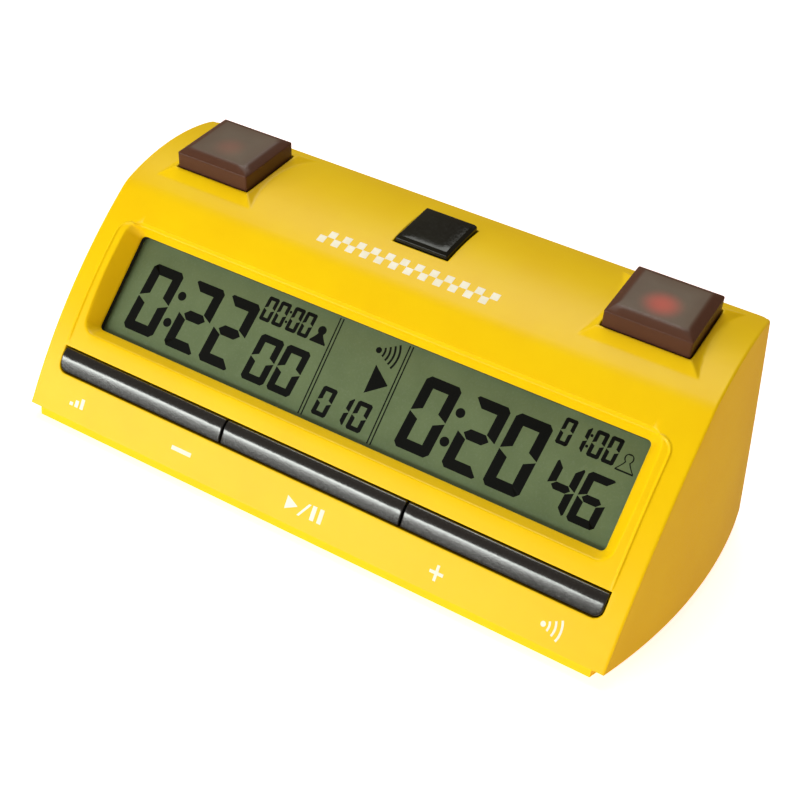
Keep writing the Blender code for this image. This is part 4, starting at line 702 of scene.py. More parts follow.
def digit(mark, x, y, width, height, stroke, slant):
    """Seven-segment digit: each bar is a strip with mitred ends, and the whole leans by slant."""
    w, h, t, g = width, height, stroke * 1.06, stroke * 0.05
    m, c, e = h / 2, stroke * 0.42, stroke * 0.01
    bars = {
        "a": patch(((c / 2, h - c / 2), (c, h), (w - c, h), (w - c / 2, h - c / 2)),
                   ((t, h - t), (t + e, h - t), (w - t - e, h - t), (w - t, h - t))),
        "d": patch(((c / 2, c / 2), (c, 0), (w - c, 0), (w - c / 2, c / 2)),
                   ((t, t), (t + e, t), (w - t - e, t), (w - t, t))),
        "b": patch(((w - c / 2, h - c / 2), (w, h - c), (w, m + g)),
                   ((w - t, h - t), (w - t, h - t - e), (w - t, m + t / 2 + g))),
        "c": patch(((w - c / 2, c / 2), (w, c), (w, m - g)),
                   ((w - t, t), (w - t, t + e), (w - t, m - t / 2 - g))),
        "f": patch(((c / 2, h - c / 2), (0, h - c), (0, m + g)),
                   ((t, h - t), (t, h - t - e), (t, m + t / 2 + g))),
        "e": patch(((c / 2, c / 2), (0, c), (0, m - g)), ((t, t), (t, t + e), (t, m - t / 2 - g))),
        "g": patch(((t + g, m + t / 2), (w - t - g, m + t / 2)), ((t / 2 + g, m), (w - t / 2 - g, m)),
                   ((t + g, m - t / 2), (w - t - g, m - t / 2))),
    }
    made = []
    for name in SEGMENTS[mark]:
        bar = bars[name].copy()
        bar[..., 0] += slant * bar[..., 1] / h
        made.append(bar + (x, y))
    return made


def pawn(x, y, width, height, line=0.0):
    """A pawn's outline: round head on a body that spreads to a flat foot. With a line width it
    is drawn as a line, otherwise it is filled."""
    head = 0.25 * height
    t = np.linspace(0, 1, 60)
    spread = 0.13 * width + (0.5 - 0.13) * width * np.clip((0.62 - t) / 0.54, 0, 1) ** 1.35
    spread = np.where(t < 0.08, 0.5 * width, spread)
    bump = np.sqrt(np.maximum(head**2 - (t * height - (height - head)) ** 2, 0))
    reach = np.maximum(spread * (t < 0.62), bump)
    reach = np.where((t >= 0.62) & (bump < 0.13 * width) & (t < 0.9), 0.13 * width, reach)
    left, right = (np.stack((x + s * reach, y + t * height), -1) for s in (-1, 1))
    if not line:
        return [patch(left, right)]
    inner = np.maximum(reach - line, 0.02)
    rows = (t > line / height) & (t < 1 - line / height)
    low = [patch(left[t <= line / height + 0.02], right[t <= line / height + 0.02])]
    sides = [
        patch(np.stack((x + s * reach[rows], y + t[rows] * height), -1),
              np.stack((x + s * inner[rows], y + t[rows] * height), -1))
        for s in (-1, 1)
    ]
    cap = t >= 1 - line / height - 0.02
    return low + sides + [patch(left[cap], right[cap])]


def slabs(patches, lift, place):
    """Each flat patch, in millimetres, as a thin solid from place(x, y, 0) up to lift."""
    solids = []
    for flat in patches:
        cross = np.cross(flat[0, -1] - flat[0, 0], flat[-1, 0] - flat[0, 0])
        if flat.shape[0] > 1 and cross < 0:
            flat = flat[::-1]
        x, y = flat[..., 0] * MM, flat[..., 1] * MM
        solids.append(walled(place(x, y, lift), place(x, y, -lift * 0.2)))
    return joined(*solids)


def clock_reading():
    """Digits and colons of both players' times, in millimetres on the film."""
    out = []
    big = dict(y=-10.1, width=9.1, height=18.0, stroke=2.4, slant=1.2)
    for mark, x in (("0", -63.6), ("2", -51.0), ("2", -40.5), ("0", 15.0), ("2", 27.5), ("0", 38.0)):
        out += digit(mark, x=x, **big)
    for x in (-51.9, 26.6):
        out += [disc(x + 0.35, 2.6, 1.15), disc(x - 0.35, -4.8, 1.15)]
    small = dict(y=-10.0, width=6.6, height=12.0, stroke=1.7, slant=0.8)
    for mark, x in (("0", -27.8), ("0", -20.3), ("4", 51.2), ("6", 58.6)):
        out += digit(mark, x=x, **small)
    tiny = dict(y=4.7, width=2.95, height=6.3, stroke=0.85, slant=0.4)
    for mark, x in (("0", -29.7), ("0", -26.2), ("0", -22.2), ("0", -18.8),
                    ("0", 49.5), ("1", 53.0), ("0", 57.0), ("0", 60.5)):
        out += digit(mark, x=x, **tiny)
    for x in (-22.5, 56.6):
        out += [disc(x + 0.05, 9.2, 0.35, 12), disc(x - 0.1, 6.6, 0.35, 12)]
    row = dict(y=-11.0, width=3.9, height=7.3, stroke=1.05, slant=0.5)
    for mark, x in (("0", -7.0), ("1", -2.2), ("0", 2.6)):
        out += digit(mark, x=x, **row)
    return out


def display_symbols():
    """Dividers, pawns, sound waves and the turn arrow, in millimetres on the film."""
    out = [block(x, -12.3, x + 0.32, 12.5) for x in (-9.95, -9.1, 9.05, 9.9)]
    out += pawn(-12.9, 4.7, 4.3, 4.4) + pawn(66.2, 4.3, 4.3, 4.4, 0.3)
    out += [disc(2.4, 8.8, 0.75, 16)]
    out += [ring_part(1.3, 8.8, r, 0.5, -a, a) for r, a in ((2.7, 24), (3.9, 26), (5.1, 27), (6.3, 28))]
    out += [patch(((3.3, -1.8), (3.3, 5.4)), ((8.0, 1.7), (8.0, 1.9)))]
    return out


def key_symbols():
    """White symbols on the strip below the keys, in millimetres: x, and height over the edge."""
    out = [block(-36.6, 4.15, -30.9, 5.1)]
    out += [patch(((-3.2, 3.0), (-3.2, 6.0)), ((-0.1, 4.45), (-0.1, 4.55)))]
    out += [patch(((0.3, 2.8), (2.6, 6.1)), ((0.95, 2.8), (3.25, 6.1)))]
    out += [block(3.7, 3.0, 4.8, 6.2), block(5.7, 3.0, 6.8, 6.2)]
    out += [block(35.3, 3.98, 38.7, 4.66), block(36.65, 2.6, 37.35, 3.98), block(36.65, 4.66, 37.35, 6.04)]
    out += [disc(63.4, 4.3, 0.6, 16)]
    out += [ring_part(62.3, 4.3, r, 0.5, -a, a) for r, a in ((2.5, 24), (3.9, 24), (5.3, 25))]
    out += [block(-68.2, 3.4, -67.2, 4.2), block(-66.6, 3.4, -65.6, 5.0), block(-65.0, 3.4, -64.0, 5.8)]
    return out


# ---------------------------------------------------------------- finishes


def linear(code):
    """Six sRGB hex digits as linear red, green, blue and one."""
    part = np.array([int(code[i: i + 2], 16) for i in (0, 2, 4)]) / 255
    part = np.where(part <= 0.04045, part / 12.92, ((part + 0.055) / 1.055) ** 2.4)
    return (*part.tolist(), 1.0)


def add(tree, kind, links=(), values=(), **settings):
    """Adds one node with its settings, its socket values and its links."""
    node = tree.nodes.new("ShaderNode" + kind)
    for name, value in settings.items():
        setattr(node, name, value)
    for name, value in dict(values).items():
        node.inputs[name].default_value = value
    for name, (source, output) in dict(links).items():
        tree.links.new(source.outputs[output], node.inputs[name])
    return node


def ramp(tree, source, start, first, end, last):
    """A colour ramp from the first colour at start to the last one at end."""
    node = add(tree, "ValToRGB", {"Fac": source})
    for stop, place, code in zip(node.color_ramp.elements, (start, end), (first, last)):
        stop.position, stop.color = place, code
    return node


def surface(name, code, dark, grain, bump, rough, cloud=18 * MM, wear=0.0, worn="FFFFFF", grit="Noise",
            stretch=(1, 1, 1), speckle=0.0, **shader):
    """A finish with cloudy colour, a grain in its height and roughness, painted glints on the grain, and
    paler worn edges.
    grain and cloud are real sizes in metres; bump is the grain's height in metres."""
    black = (0, 0, 0, 1)
    material = bpy.data.materials.new(name)
    material.use_nodes = True
    tree = material.node_tree
    tree.nodes.clear()
    spot = add(tree, "TexCoord")
    scaled = add(tree, "Mapping", {"Vector": (spot, "Object")}, {"Scale": stretch})
    clouds = add(tree, "TexNoise", {"Vector": (spot, "Object")},
                 {"Scale": 1 / cloud, "Detail": 3.0, "Roughness": 0.55})
    if grit == "Voronoi":
        grains = add(tree, "TexVoronoi", {"Vector": (scaled, "Vector")}, {"Scale": 1 / grain})
        height = (grains, "Distance")
    else:
        grains = add(tree, "TexNoise", {"Vector": (scaled, "Vector")},
                     {"Scale": 1 / grain, "Detail": 2.0, "Roughness": 0.6})
        height = (grains, "Fac")
    tint = ramp(tree, (clouds, "Fac"), 0.32, linear(dark), 0.68, linear(code))
    colour_out = (tint, "Color")
    # painted glints: pale flecks added to the colour where the grain stands high, for light caught by the
    # grain's tops
    if speckle:
        painted_glints = ramp(tree, height, 0.52, black, 0.78, (speckle,) * 3 + (1,))
        lit = add(tree, "Mix", data_type="RGBA", blend_type="ADD")
        lit.inputs["Factor"].default_value = 1.0
        tree.links.new(tint.outputs["Color"], lit.inputs[6])
        tree.links.new(painted_glints.outputs["Color"], lit.inputs[7])
        colour_out = (lit, 2)
    if wear:
        edges = add(tree, "NewGeometry")
        share = ramp(tree, (edges, "Pointiness"), 0.52, black, 0.62, (wear,) * 3 + (1,))
        blend = add(tree, "Mix", data_type="RGBA")
        tree.links.new(share.outputs["Color"], blend.inputs["Factor"])
        tree.links.new(colour_out[0].outputs[colour_out[1]], blend.inputs[6])
        blend.inputs[7].default_value = linear(worn)
        colour_out = (blend, 2)
    gloss = add(tree, "MapRange", {"Value": height},
                {"From Min": 0.3, "From Max": 0.7, "To Min": rough[0], "To Max": rough[1]})
    raised = add(tree, "Bump", {"Height": height}, {"Strength": 1.0, "Distance": bump})
    body = add(tree, "BsdfPrincipled", {
        "Base Color": colour_out, "Roughness": (gloss, "Result"), "Normal": (raised, "Normal"),
    }, shader)
    add(tree, "OutputMaterial", {"Surface": (body, "BSDF")})
    return material


FINISHES = {}


def glowing(material, code, strength, centre, reach):
    """Painted glow: the material itself gives off light, strongest at centre and falling smoothly to
    nothing at that reach, for a lamp inside shining through.
    """
    tree = material.node_tree
    body = next(n for n in tree.nodes if n.type == "BSDF_PRINCIPLED")
    spot = add(tree, "TexCoord")
    moved = add(tree, "Mapping", {"Vector": (spot, "Object")},
                {"Location": tuple(-c for c in centre)})
    far = add(tree, "VectorMath", {0: (moved, "Vector")}, operation="LENGTH")
    fall = add(tree, "MapRange", {"Value": (far, "Value")},
               {"From Min": 0.0, "From Max": reach, "To Min": strength, "To Max": 0.0},
               interpolation_type="SMOOTHERSTEP")
    tree.links.new(fall.outputs["Result"], body.inputs["Emission Strength"])
    body.inputs["Emission Color"].default_value = linear(code)


def painted_edge_shade(material, code):
    """Painted shade: where the piece's own rim attribute is high, the colour turns to a darker brown,
    standing in for the dark inside that shows through a clear cap's chamfer and sides.
    """
    tree = material.node_tree
    body = next(n for n in tree.nodes if n.type == "BSDF_PRINCIPLED")
    before = body.inputs["Base Color"].links[0].from_socket
    rim = add(tree, "Attribute", attribute_name="rim")
    blend = add(tree, "Mix", {"Factor": (rim, "Fac")}, data_type="RGBA")
    tree.links.new(before, blend.inputs[6])
    blend.inputs[7].default_value = linear(code)
    tree.links.new(blend.outputs[2], body.inputs["Base Color"])


def make_finishes(scene):
    """Every finish by name: each colour, grain and roughness is that of the real material."""
    f = scene.clock_finish
    plastic, metal = {"IOR": 1.5}, {"Metallic": 1.0}
    smoked = dict(code=f.cap, dark="6C5C4E", grain=0.6 * MM, bump=0.003 * MM, rough=(0.34, 0.46),
                  wear=0.3, worn="A08C7C",
                  **{"IOR": 1.4, "Specular IOR Level": 0.3, "Transmission Weight": 0.25})
    make = {
        # moulded ABS from a lightly spark-textured mould: saturated, satin, faint grain
        "yellow_abs": dict(code=f.housing, dark="F1C600", grain=0.45 * MM, bump=0.004 * MM,
                           rough=(0.33, 0.42), wear=0.12, worn="FFD21A",
                           **{"IOR": 1.42, "Specular IOR Level": 0.26}),
        # charcoal ABS, coarser spark texture: dull, with painted glints, pale flecks where grains catch
        # light
        "key_abs": dict(code=f.key, dark="0A0C0E", grain=0.36 * MM, bump=0.016 * MM,
                        rough=(0.17, 0.27), speckle=0.012, wear=0.15, worn="6A6C70",
                        **{"IOR": 1.55, "Specular IOR Level": 1.0}),
        # charcoal ABS, moulded and lightly textured: dull, no clear highlights
        "black_abs": dict(code="1B1C1E", dark="141516", grain=0.3 * MM, bump=0.006 * MM,
                          rough=(0.42, 0.6), wear=0.15, worn="404245", **plastic),
        # black ABS from a polished mould: nearly a mirror, with fine rubbing marks
        "gloss_black_abs": dict(code=f.middle, dark="0D0B0A", grain=0.7 * MM, bump=0.002 * MM,
                                rough=(0.10, 0.2), wear=0.1, worn="3A3632",
                                **{"IOR": 1.5, "Specular IOR Level": 0.2}),
        # smoked polycarbonate: brown and cloudy, a little light comes through
        "smoked_polycarbonate": smoked,
        "lit_cap": smoked,
        # moulded rubber: matt, near black, a soft fine grain
        "rubber": dict(code="232323", dark="191919", grain=0.4 * MM, bump=0.012 * MM,
                       rough=(0.75, 0.92), **{"IOR": 1.52}),
        # zinc on steel: grey with a faint blue cast, brushed by tumbling
        "zinc_steel": dict(code="B9BDC2", dark="9DA2A9", grain=0.25 * MM, bump=0.003 * MM,
                           rough=(0.26, 0.42), cloud=3 * MM, **metal),
        # nickel plate on spring steel: warm grey, a blurred mirror
        "nickel_contact": dict(code="CFCAC0", dark="B5AFA3", grain=0.3 * MM, bump=0.002 * MM,
                               rough=(0.16, 0.3), cloud=4 * MM, **metal),
        # polarising film with an anti-glare coat: grey-green, fine grain, satin, with faint painted glints
        # on the grain
        "lcd_film": dict(code=f.film, dark="5A6C48", grain=0.55 * MM, bump=0.002 * MM,
                         rough=(0.34, 0.44), cloud=9 * MM, speckle=0.02, **plastic),
        # float glass round liquid crystal: clear with a green cast
        "lcd_glass": dict(code="8FA58C", dark="86A084", grain=1.2 * MM, bump=0.0005 * MM,
                          rough=(0.04, 0.08), **{"IOR": 1.52, "Transmission Weight": 0.6}),
        # darkened crystal: flat black with no sheen of its own
        "lcd_ink": dict(code="0A0C0A", dark="050705", grain=0.4 * MM, bump=0.001 * MM,
                        rough=(0.55, 0.65), **{"IOR": 1.5, "Specular IOR Level": 0.1}),
        # screen-printed ink: matt white, a little uneven
        "white_ink": dict(code=f.print_ink, dark="F1EBD3", grain=0.3 * MM, bump=0.003 * MM,
                          rough=(0.5, 0.62), cloud=4 * MM, **plastic),
        # layered silicone: cream and dark bands along its length, matt
        "silicone_elastomer": dict(code="DED8CC", dark="55524C", grain=0.18 * MM, bump=0.004 * MM,
                                   rough=(0.6, 0.75), stretch=(6, 0.2, 0.2), **{"IOR": 1.43}),
        # glass-fibre board under green mask: weave just shows
        "fibreglass_board": dict(code="1E6B3A", dark="185A30", grain=0.9 * MM, bump=0.01 * MM,
                                 rough=(0.35, 0.5), grit="Voronoi", **{"IOR": 1.55}),
        # potted epoxy: a flowed, slightly uneven gloss
        "black_epoxy": dict(code="171717", dark="0F0F0F", grain=1.0 * MM, bump=0.02 * MM,
                            rough=(0.18, 0.3), **{"IOR": 1.55}),
        # tinned steel, drawn: bright and cool, softly blurred
        "tin_can": dict(code="D4D5D6", dark="BFC0C2", grain=0.3 * MM, bump=0.002 * MM,
                        rough=(0.2, 0.34), cloud=3 * MM, **metal),
        # stamped brass: yellow, with drawing lines one way
        "buzzer_brass": dict(code="D9B36A", dark="C39A50", grain=0.2 * MM, bump=0.002 * MM,
                             rough=(0.25, 0.4), stretch=(1, 8, 1), **metal),
        # tinted cast epoxy: clear red with a sharp highlight
        "red_led_epoxy": dict(code="C81418", dark="A80C10", grain=0.8 * MM, bump=0.001 * MM,
                              rough=(0.08, 0.14), **{"IOR": 1.55, "Transmission Weight": 0.6}),
        # printed shrink film: dark blue satin, tight over the can
        "cell_wrap": dict(code="26304A", dark="1E263C", grain=0.6 * MM, bump=0.004 * MM,
                          rough=(0.25, 0.36), cloud=12 * MM, **plastic),
        # PVC flat cable: grey satin, ribbed by its conductors
        "grey_ribbon": dict(code="8C8D91", dark="7C7D81", grain=1.27 * MM, bump=0.06 * MM,
                            rough=(0.45, 0.6), stretch=(1, 0.05, 0.05), **plastic),
    }
    for name, words in make.items():
        FINISHES[name] = surface(name, **words)
    (y, z), _ = slopes(scene)["buttons"]
    x = scene.clock_buttons.spacing / 2
    # painted shade: the caps' sides and chamfers turn a darker brown, for the dark inside seen through the
    # clear plastic
    for name in ("smoked_polycarbonate", "lit_cap"):
        painted_edge_shade(FINISHES[name], "5E3B2A")
    # painted glow: red light given off by the caps themselves for the lamps inside, strong in the right cap
    # and faint in the left
    glowing(FINISHES["lit_cap"], "FF1016", 0.26, (x, y - 3 * MM, z + 4 * MM), 6.5 * MM)
    glowing(FINISHES["smoked_polycarbonate"], "FF1810", 0.05, (-x, y - 3 * MM, z + 4 * MM), 6 * MM)


# ---------------------------------------------------------------- operators


class CLOCK_OT_finishes(bpy.types.Operator):
    """Makes every finish and puts it on the frame's own nodes"""

    bl_idname = "clock.finishes"
    bl_label = "Finishes"

    def execute(self, context):
        make_finishes(context.scene)
        of_node = {p["node"]: p["material_slot"] for p in frame["record"]["subparts"]}
        for name, obj in frame["nodes"].items():
            for place in obj.material_slots:
                place.material = FINISHES[of_node[name]]
            if not obj.material_slots:
                obj.data.materials.append(FINISHES[of_node[name]])
        return {"FINISHED"}


class CLOCK_OT_housing(bpy.types.Operator):
    """Upper housing: one moulding with its openings, pedestals, chamfered window and bead"""

    bl_idname = "clock.housing"
    bl_label = "Housing"

    def execute(self, context):
        add_piece("housing", housing_surface(context.scene), "yellow_abs",
                  replaces=("upper_shell",), sharp=50)
        return {"FINISHED"}


class CLOCK_OT_feet(bpy.types.Operator):
    """Four rubber feet: turned discs with a rounded rim and a shallow hollow underneath"""

    bl_idname = "clock.feet"
    bl_label = "Feet"

    def execute(self, context):
        for name in ("front_left_foot", "front_right_foot", "rear_left_foot", "rear_right_foot"):
            low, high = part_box(name)
            centre, radius = (low + high) / 2, (high.x - low.x) / 2
            r = 0.5 * MM
            angle = np.linspace(0, np.pi / 2, 6)
            rim = [(radius - r + r * math.sin(a), low.z + r - r * math.cos(a)) for a in angle]
            profile = [(0, low.z + 0.35 * MM), (radius * 0.55, low.z + 0.35 * MM),
                       (radius * 0.68, low.z)] + rim + [(radius, high.z), (0, high.z)]
            add_piece(name.replace("foot", "pad"), turned(profile, centre), "rubber",
                      replaces=(name,), outward=True)
        return {"FINISHED"}


class CLOCK_OT_display(bpy.types.Operator):
    """Dark segments and symbols that stand on the display's film"""

    bl_idname = "clock.display"
    bl_label = "Display"

    def execute(self, context):
        d = context.scene.clock_display
        at, tilt = slopes(context.scene)["display"]
        scale, right, up = 1.00643, -0.757 * MM, 0.122 * MM  # the reading's size and place in its window

        def on_film(x, y, z):
            """A point of the reading on the film, z over it."""
            sunk = np.stack((x * scale + right, y * scale + up, np.full(x.shape, z - d.sink)), -1)
            return from_slope(sunk, at, tilt)

        add_piece("time_digits", slabs(clock_reading(), d.ink, on_film), "lcd_ink", outward=True)
        add_piece("display_symbols", slabs(display_symbols(), d.ink, on_film), "lcd_ink", outward=True)
        return {"FINISHED"}


class CLOCK_OT_print(bpy.types.Operator):
    """White symbols below the keys and the strip of squares on the deck"""

    bl_idname = "clock.print"
    bl_label = "Print"

    def execute(self, context):
        h = context.scene.clock_housing
        run, points, _ = dense_profile(h)
        normal = np.gradient(points, run, axis=0)
        normal = np.stack((-normal[:, 1], normal[:, 0]), -1)

        def on_roof(x, s, lift):
            """The place s along the profile, lifted along its normal."""
            y, z = (np.interp(s, run, points[:, i] + normal[:, i] * lift) for i in (0, 1))
            return np.stack((x, y, z), -1)

        def by_height(x, z, lift):
            """On the face, at a height over the lower edge."""
            return on_roof(x, np.interp(z + EDGE_Z, points[:STEPS, 1], run[:STEPS]), lift)

        def by_depth(x, y, lift):
            """On the deck, at a distance from the front foot."""
            deck = slice(STEPS, 2 * STEPS)
            return on_roof(x, np.interp(y + FRONT_Y, points[deck, 0], run[deck]), lift)

        add_piece("key_symbols", slabs(key_symbols(), 0.03 * MM, by_height), "white_ink", outward=True)
        side, left, front = 2.0, -24, 39.6
        squares = [
            block(left + side * i, front + side * j, left + side * (i + 1), front + side * (j + 1))
            for i in range(24) for j in range(2) if (i + j) % 2 == 0
        ]
        add_piece("deck_squares", slabs(squares, 0.03 * MM, by_depth), "white_ink", outward=True)
        return {"FINISHED"}


class CLOCK_OT_keys(bpy.types.Operator):
    """Three keys: crowned bars with rounded edges, a flange and stems behind them"""

    bl_idname = "clock.keys"
    bl_label = "Keys"

    def execute(self, context):
        k = context.scene.clock_keys
        at, tilt = slopes(context.scene)["keys"]
        pitch = k.row_width / 3
        half_x, half_y = (pitch - k.gap) / 2, k.row_height / 2 - k.clearance
        under = k.proud - k.depth

        crest = 0.15 * half_y

        def crown(x, y):
            """Height over the face: falls as a parabola above the crest, and less steeply below it."""
            up = np.maximum(y - crest, 0) / (half_y - crest)
            down = np.maximum(crest - y, 0) / (half_y + crest)
            return k.proud - k.crown * up**2 - k.lower_fall * down**1.3

        r = k.edge
        angle = np.linspace(0, np.pi / 2, 6)
        rounding = [(r - r * math.cos(a), r * math.sin(a) - r, True) for a in angle]
        levels = [(half_y, under, False), (0, under, False), *rounding]
        levels += [(half_y * e, 0, True) for e in (0.2, 0.35, 0.5, 0.65, 0.8, 0.9, 1.0)]
        for name, body, x0, side, stems in (
            ("left", "left_rocker", -pitch, -1, (-17.5, 17.5)),
            ("middle", "centre_key", 0, 0, (0,)),
            ("right", "right_rocker", pitch, 1, (-17.5, 17.5)),
        ):
            small, round_end = 0.3 * MM, k.corner - k.clearance
            radii = [small, small, round_end if side < 0 else small, round_end if side > 0 else small]
            bar = lofted(half_x, half_y, radii, levels, crown, per_corner=7, per_side=9)
            flange = plate(half_x - 4 * MM, half_y + 1.3 * MM, small, under - 0.4 * MM, 0.8 * MM)
            posts = [
                turned([(0, under - 1.4 * MM), (1.0 * MM, under - 1.4 * MM), (1.1 * MM, under - 1.3 * MM),
                        (1.1 * MM, under + 0.5 * MM), (0, under + 0.5 * MM)], (x * MM, 0), 24)
                for x in stems
            ]
            points, faces = joined(bar, flange, *posts)
            points = from_slope(points + (x0, 0, 0), at, tilt)
            add_piece(f"{name}_key_bar", (points, faces), "key_abs", body, (f"{name}_key",), outward=True)
        return {"FINISHED"}


class CLOCK_OT_buttons(bpy.types.Operator):
    """Push button caps, their return springs, and the middle button"""

    bl_idname = "clock.buttons"
    bl_label = "Buttons"

    def execute(self, context):
        b = context.scene.clock_buttons
        place = slopes(context.scene)
        at, tilt = place["buttons"]
        half_x, half_y = b.width / 2, b.length / 2
        top = b.side + b.chamfer_rise
        lean = math.atan2(b.chamfer_rise, b.chamfer_run)
        r = 0.35 * MM
        bend = (math.pi / 2 - lean) / 2
        cut = r * math.tan(bend)
        r_top = 2.6 * MM
        cut_top = r_top * math.tan(lean / 2)
        levels = [(half_y, top, False), (half_y * 0.6, top, False)]
        for a in np.linspace(0, lean, 5):
            inset = b.chamfer_run + cut_top - r_top * math.sin(a)
            levels.append((inset, top - r_top + r_top * math.cos(a), False))
        for a in np.linspace(lean, math.pi / 2, 7):
            levels.append((r - r * math.sin(a), b.side - cut + r * math.cos(a), False))
        wall_in = b.wall
        levels += [
            (0, b.side - 1.5 * MM, False), (0, -b.skirt + 0.2 * MM, False), (0.2 * MM, -b.skirt, False),
            (wall_in - 0.2 * MM, -b.skirt, False), (wall_in, -b.skirt + 0.2 * MM, False),
            (wall_in, top - wall_in - 0.3 * MM, False), (wall_in + 0.3 * MM, top - wall_in, False),
            (half_y * 0.6, top - wall_in, False), (half_y, top - wall_in, False),
        ]
        for name, side, finish in (("left", -1, "smoked_polycarbonate"), ("right", 1, "lit_cap")):
            x0 = side * b.spacing / 2
            points, faces = lofted(half_x, half_y, [b.corner] * 4, levels, per_corner=7, per_side=7)
            points = from_slope(points + (x0, 0, 0), at, tilt)
            cap = add_piece(f"{name}_smoked_cap", (points, faces), finish, f"{name}_button",
                            (f"{name}_button_cap",), outward=True)
            found = np.empty(len(cap.data.vertices) * 3)
            cap.data.vertices.foreach_get("co", found)
            local = to_slope(found.reshape(-1, 3), at, tilt)
            # rim: share of painted shade, full on the cap's sides and chamfer and fading out across the
            # flat top
            inset = np.minimum(half_x - np.abs(local[:, 0] - x0), half_y - np.abs(local[:, 1]))
            edge_shade_share = np.clip(1 - (inset - 2.0 * MM) / (1.1 * MM), 0, 1)
            rim = np.where(local[:, 2] > b.side - 0.2 * MM, edge_shade_share, 1)
            cap.data.attributes.new("rim", "FLOAT", "POINT").data.foreach_set("value", rim)
            wire, coil, turns = 0.3 * MM, 4.4 * MM, 5  # ground ends: the first 0.7 of a turn lies flat
            t = np.linspace(0, 1, turns * 28 + 1)
            flat = 0.7 / turns
            rise = np.clip((t - flat) / (1 - 2 * flat), 0, 1)
            low, high = -b.board + 2 * wire, -5.0 * MM - 2 * wire
            angle = 2 * np.pi * turns * t
            path = np.stack((coil * np.cos(angle), coil * np.sin(angle), low + (high - low) * rise), -1)
            points, faces = tube(path, wire)
            points = from_slope(points + (x0, 0, 0), at, tilt)
            spring = add_piece(f"{name}_return_spring", (points, faces), "zinc_steel", "root",
                               (f"{name}_button_spring",), outward=True)
            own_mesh(spring)
        at, tilt = place["middle"]
        half_x, half_y = b.middle_width / 2, b.middle_length / 2
        top, low = b.middle_proud, b.middle_proud - 5.8 * MM
        c = b.middle_chamfer
        levels = [(half_x, low, False), (0, low, False), (0, top - c - 0.15 * MM, False),
                  (0.05 * MM, top - c - 0.02 * MM, False), (0.15 * MM, top - c + 0.12 * MM, False),
                  (c - 0.12 * MM, top - 0.14 * MM, False), (c, top - 0.04 * MM, False),
                  (c + 0.16 * MM, top, False), (half_x * 0.5, top, False), (half_x, top, False)]
        body = lofted(half_x, half_y, [0.45 * MM] * 4, levels)
        flange = plate(half_x + 1 * MM, half_y + 1 * MM, 0.4 * MM, low, 1 * MM)
        foot = to_slope(np.array((0, at[0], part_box("middle_button")[0].z)), at, tilt)[2] + 0.3 * MM
        stem_top, stem_radius = low + 0.5 * MM, 1.4 * MM
        stem = turned([(0, foot), (stem_radius, foot), (stem_radius, stem_top), (0, stem_top)], (0, 0), 24)
        points, faces = joined(body, flange, stem)
        points = from_slope(points, at, tilt)
        add_piece("middle_square_button", (points, faces), "gloss_black_abs", "centre_button",
                  ("middle_button",), outward=True)
        return {"FINISHED"}


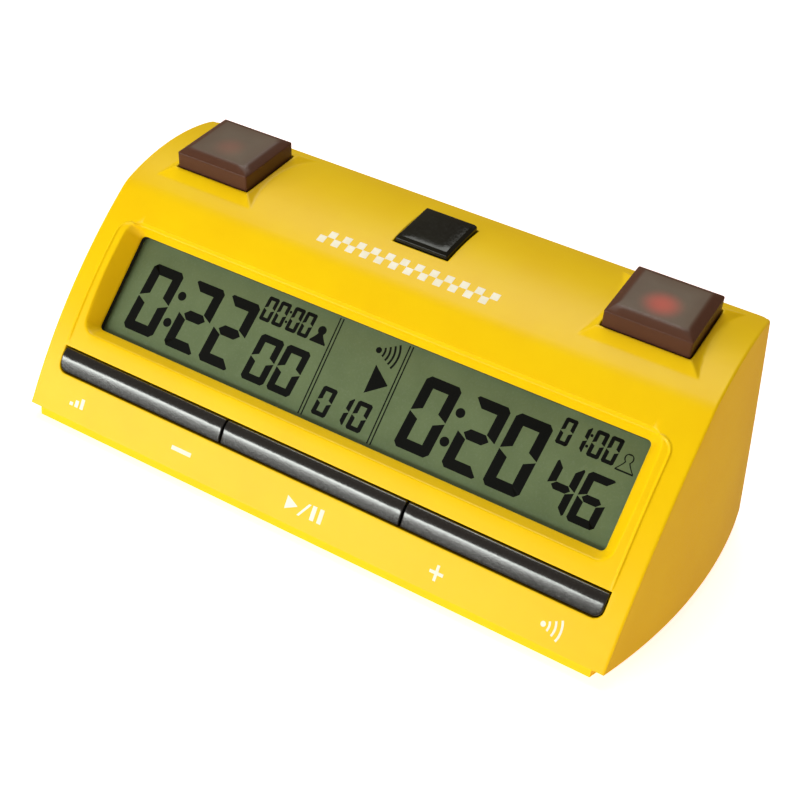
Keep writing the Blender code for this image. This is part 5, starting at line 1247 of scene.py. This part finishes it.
class CLOCK_OT_stage(bpy.types.Operator):
    """Plain pale floor, soft studio light and the camera"""

    bl_idname = "clock.stage"
    bl_label = "Stage"

    def execute(self, context):
        scene = context.scene
        mesh = bpy.data.meshes.new("floor")
        mesh.from_pydata([(-6, -6, 0), (6, -6, 0), (6, 6, 0), (-6, 6, 0)], [], [(0, 1, 2, 3)])
        floor = bpy.data.objects.new("floor", mesh)
        scene.collection.objects.link(floor)
        # pale paper, lit from below as on a light table, so that it stays even behind the clock
        mesh.materials.append(surface(
            "pale_floor", scene.clock_finish.floor, scene.clock_finish.floor, 8 * MM, 0.01 * MM, (0.7, 0.8),
            **{"Emission Color": (1.0, 0.74, 0.77, 1.0), "Emission Strength": 0.98},
        ))
        floor.visible_glossy = False  # its mirror image would wash out the yellow walls
        world = bpy.data.worlds.new("studio")
        scene.world = world
        world.use_nodes = True
        back = world.node_tree.nodes["Background"]
        back.inputs["Color"].default_value = (1.0, 0.80, 0.62, 1.0)
        back.inputs["Strength"].default_value = 0.22
        for name, where, size, power, tint in (
            ("front_panel", (-0.52, -1.07, 0.20), (0.95, 0.32), 10.0, (0.96, 1.0, 0.95)),
            ("back_panel", (-0.30, 0.35, 1.15), (0.7, 0.7), 9.0, (0.97, 1.0, 0.95)),
        ):
            lamp = bpy.data.lights.new(name, "AREA")
            lamp.shape, lamp.size, lamp.size_y = "RECTANGLE", *size
            lamp.energy, lamp.color = power, tint
            obj = bpy.data.objects.new(name, lamp)
            scene.collection.objects.link(obj)
            obj.location = where
            obj.rotation_euler = (Vector((0, 0, 0.03)) - Vector(where)).to_track_quat("-Z", "Y").to_euler()
        lens = bpy.data.cameras.new("camera")
        lens.lens, lens.sensor_width, lens.sensor_fit = 58.556, 36.0, "HORIZONTAL"
        lens.clip_start, lens.clip_end = 0.01, 50.0
        camera = bpy.data.objects.new("camera", lens)
        scene.collection.objects.link(camera)
        camera.location = (0.11782, -0.24342, 0.19846)
        camera.rotation_euler = tuple(math.radians(a) for a in (56.215, -7.112, 29.702))
        scene.camera = camera
        scene.view_settings.view_transform = "Standard"
        return {"FINISHED"}


class CLOCK_PT_panel(bpy.types.Panel):
    """Lists the clock's pieces and their sizes"""

    bl_idname = "CLOCK_PT_panel"
    bl_label = "Chess clock"
    bl_space_type = "VIEW_3D"
    bl_region_type = "UI"
    bl_category = "Chess clock"

    def draw(self, context):
        for operator in OPERATORS:
            self.layout.operator(operator.bl_idname)
        for name in SETTINGS:
            box = self.layout.box()
            box.label(text=name.replace("clock_", "").title())
            group = getattr(context.scene, name)
            for key in group.__annotations__:
                box.prop(group, key)


SETTINGS = {
    "clock_housing": HousingSettings, "clock_display": DisplaySettings, "clock_keys": KeySettings,
    "clock_buttons": ButtonSettings, "clock_finish": FinishSettings,
}
OPERATORS = (
    CLOCK_OT_finishes, CLOCK_OT_housing, CLOCK_OT_feet, CLOCK_OT_display, CLOCK_OT_print,
    CLOCK_OT_keys, CLOCK_OT_buttons, CLOCK_OT_stage,
)


def register():
    """Registers the settings, the operators and the panel."""
    for group in SETTINGS.values():
        bpy.utils.register_class(group)
    for name, group in SETTINGS.items():
        setattr(bpy.types.Scene, name, PointerProperty(type=group))
    for operator in OPERATORS:
        bpy.utils.register_class(operator)
    bpy.utils.register_class(CLOCK_PT_panel)


def unregister():
    """Takes back all that register did."""
    bpy.utils.unregister_class(CLOCK_PT_panel)
    for operator in reversed(OPERATORS):
        bpy.utils.unregister_class(operator)
    for name in SETTINGS:
        delattr(bpy.types.Scene, name)
    for group in reversed(list(SETTINGS.values())):
        bpy.utils.unregister_class(group)


def main():
    """Runs every operator in order."""
    register()
    bpy.ops.clock.finishes()
    bpy.ops.clock.housing()
    bpy.ops.clock.feet()
    bpy.ops.clock.display()
    bpy.ops.clock.print()
    bpy.ops.clock.keys()
    bpy.ops.clock.buttons()
    bpy.ops.clock.stage()


if __name__ == "__main__":
    main()
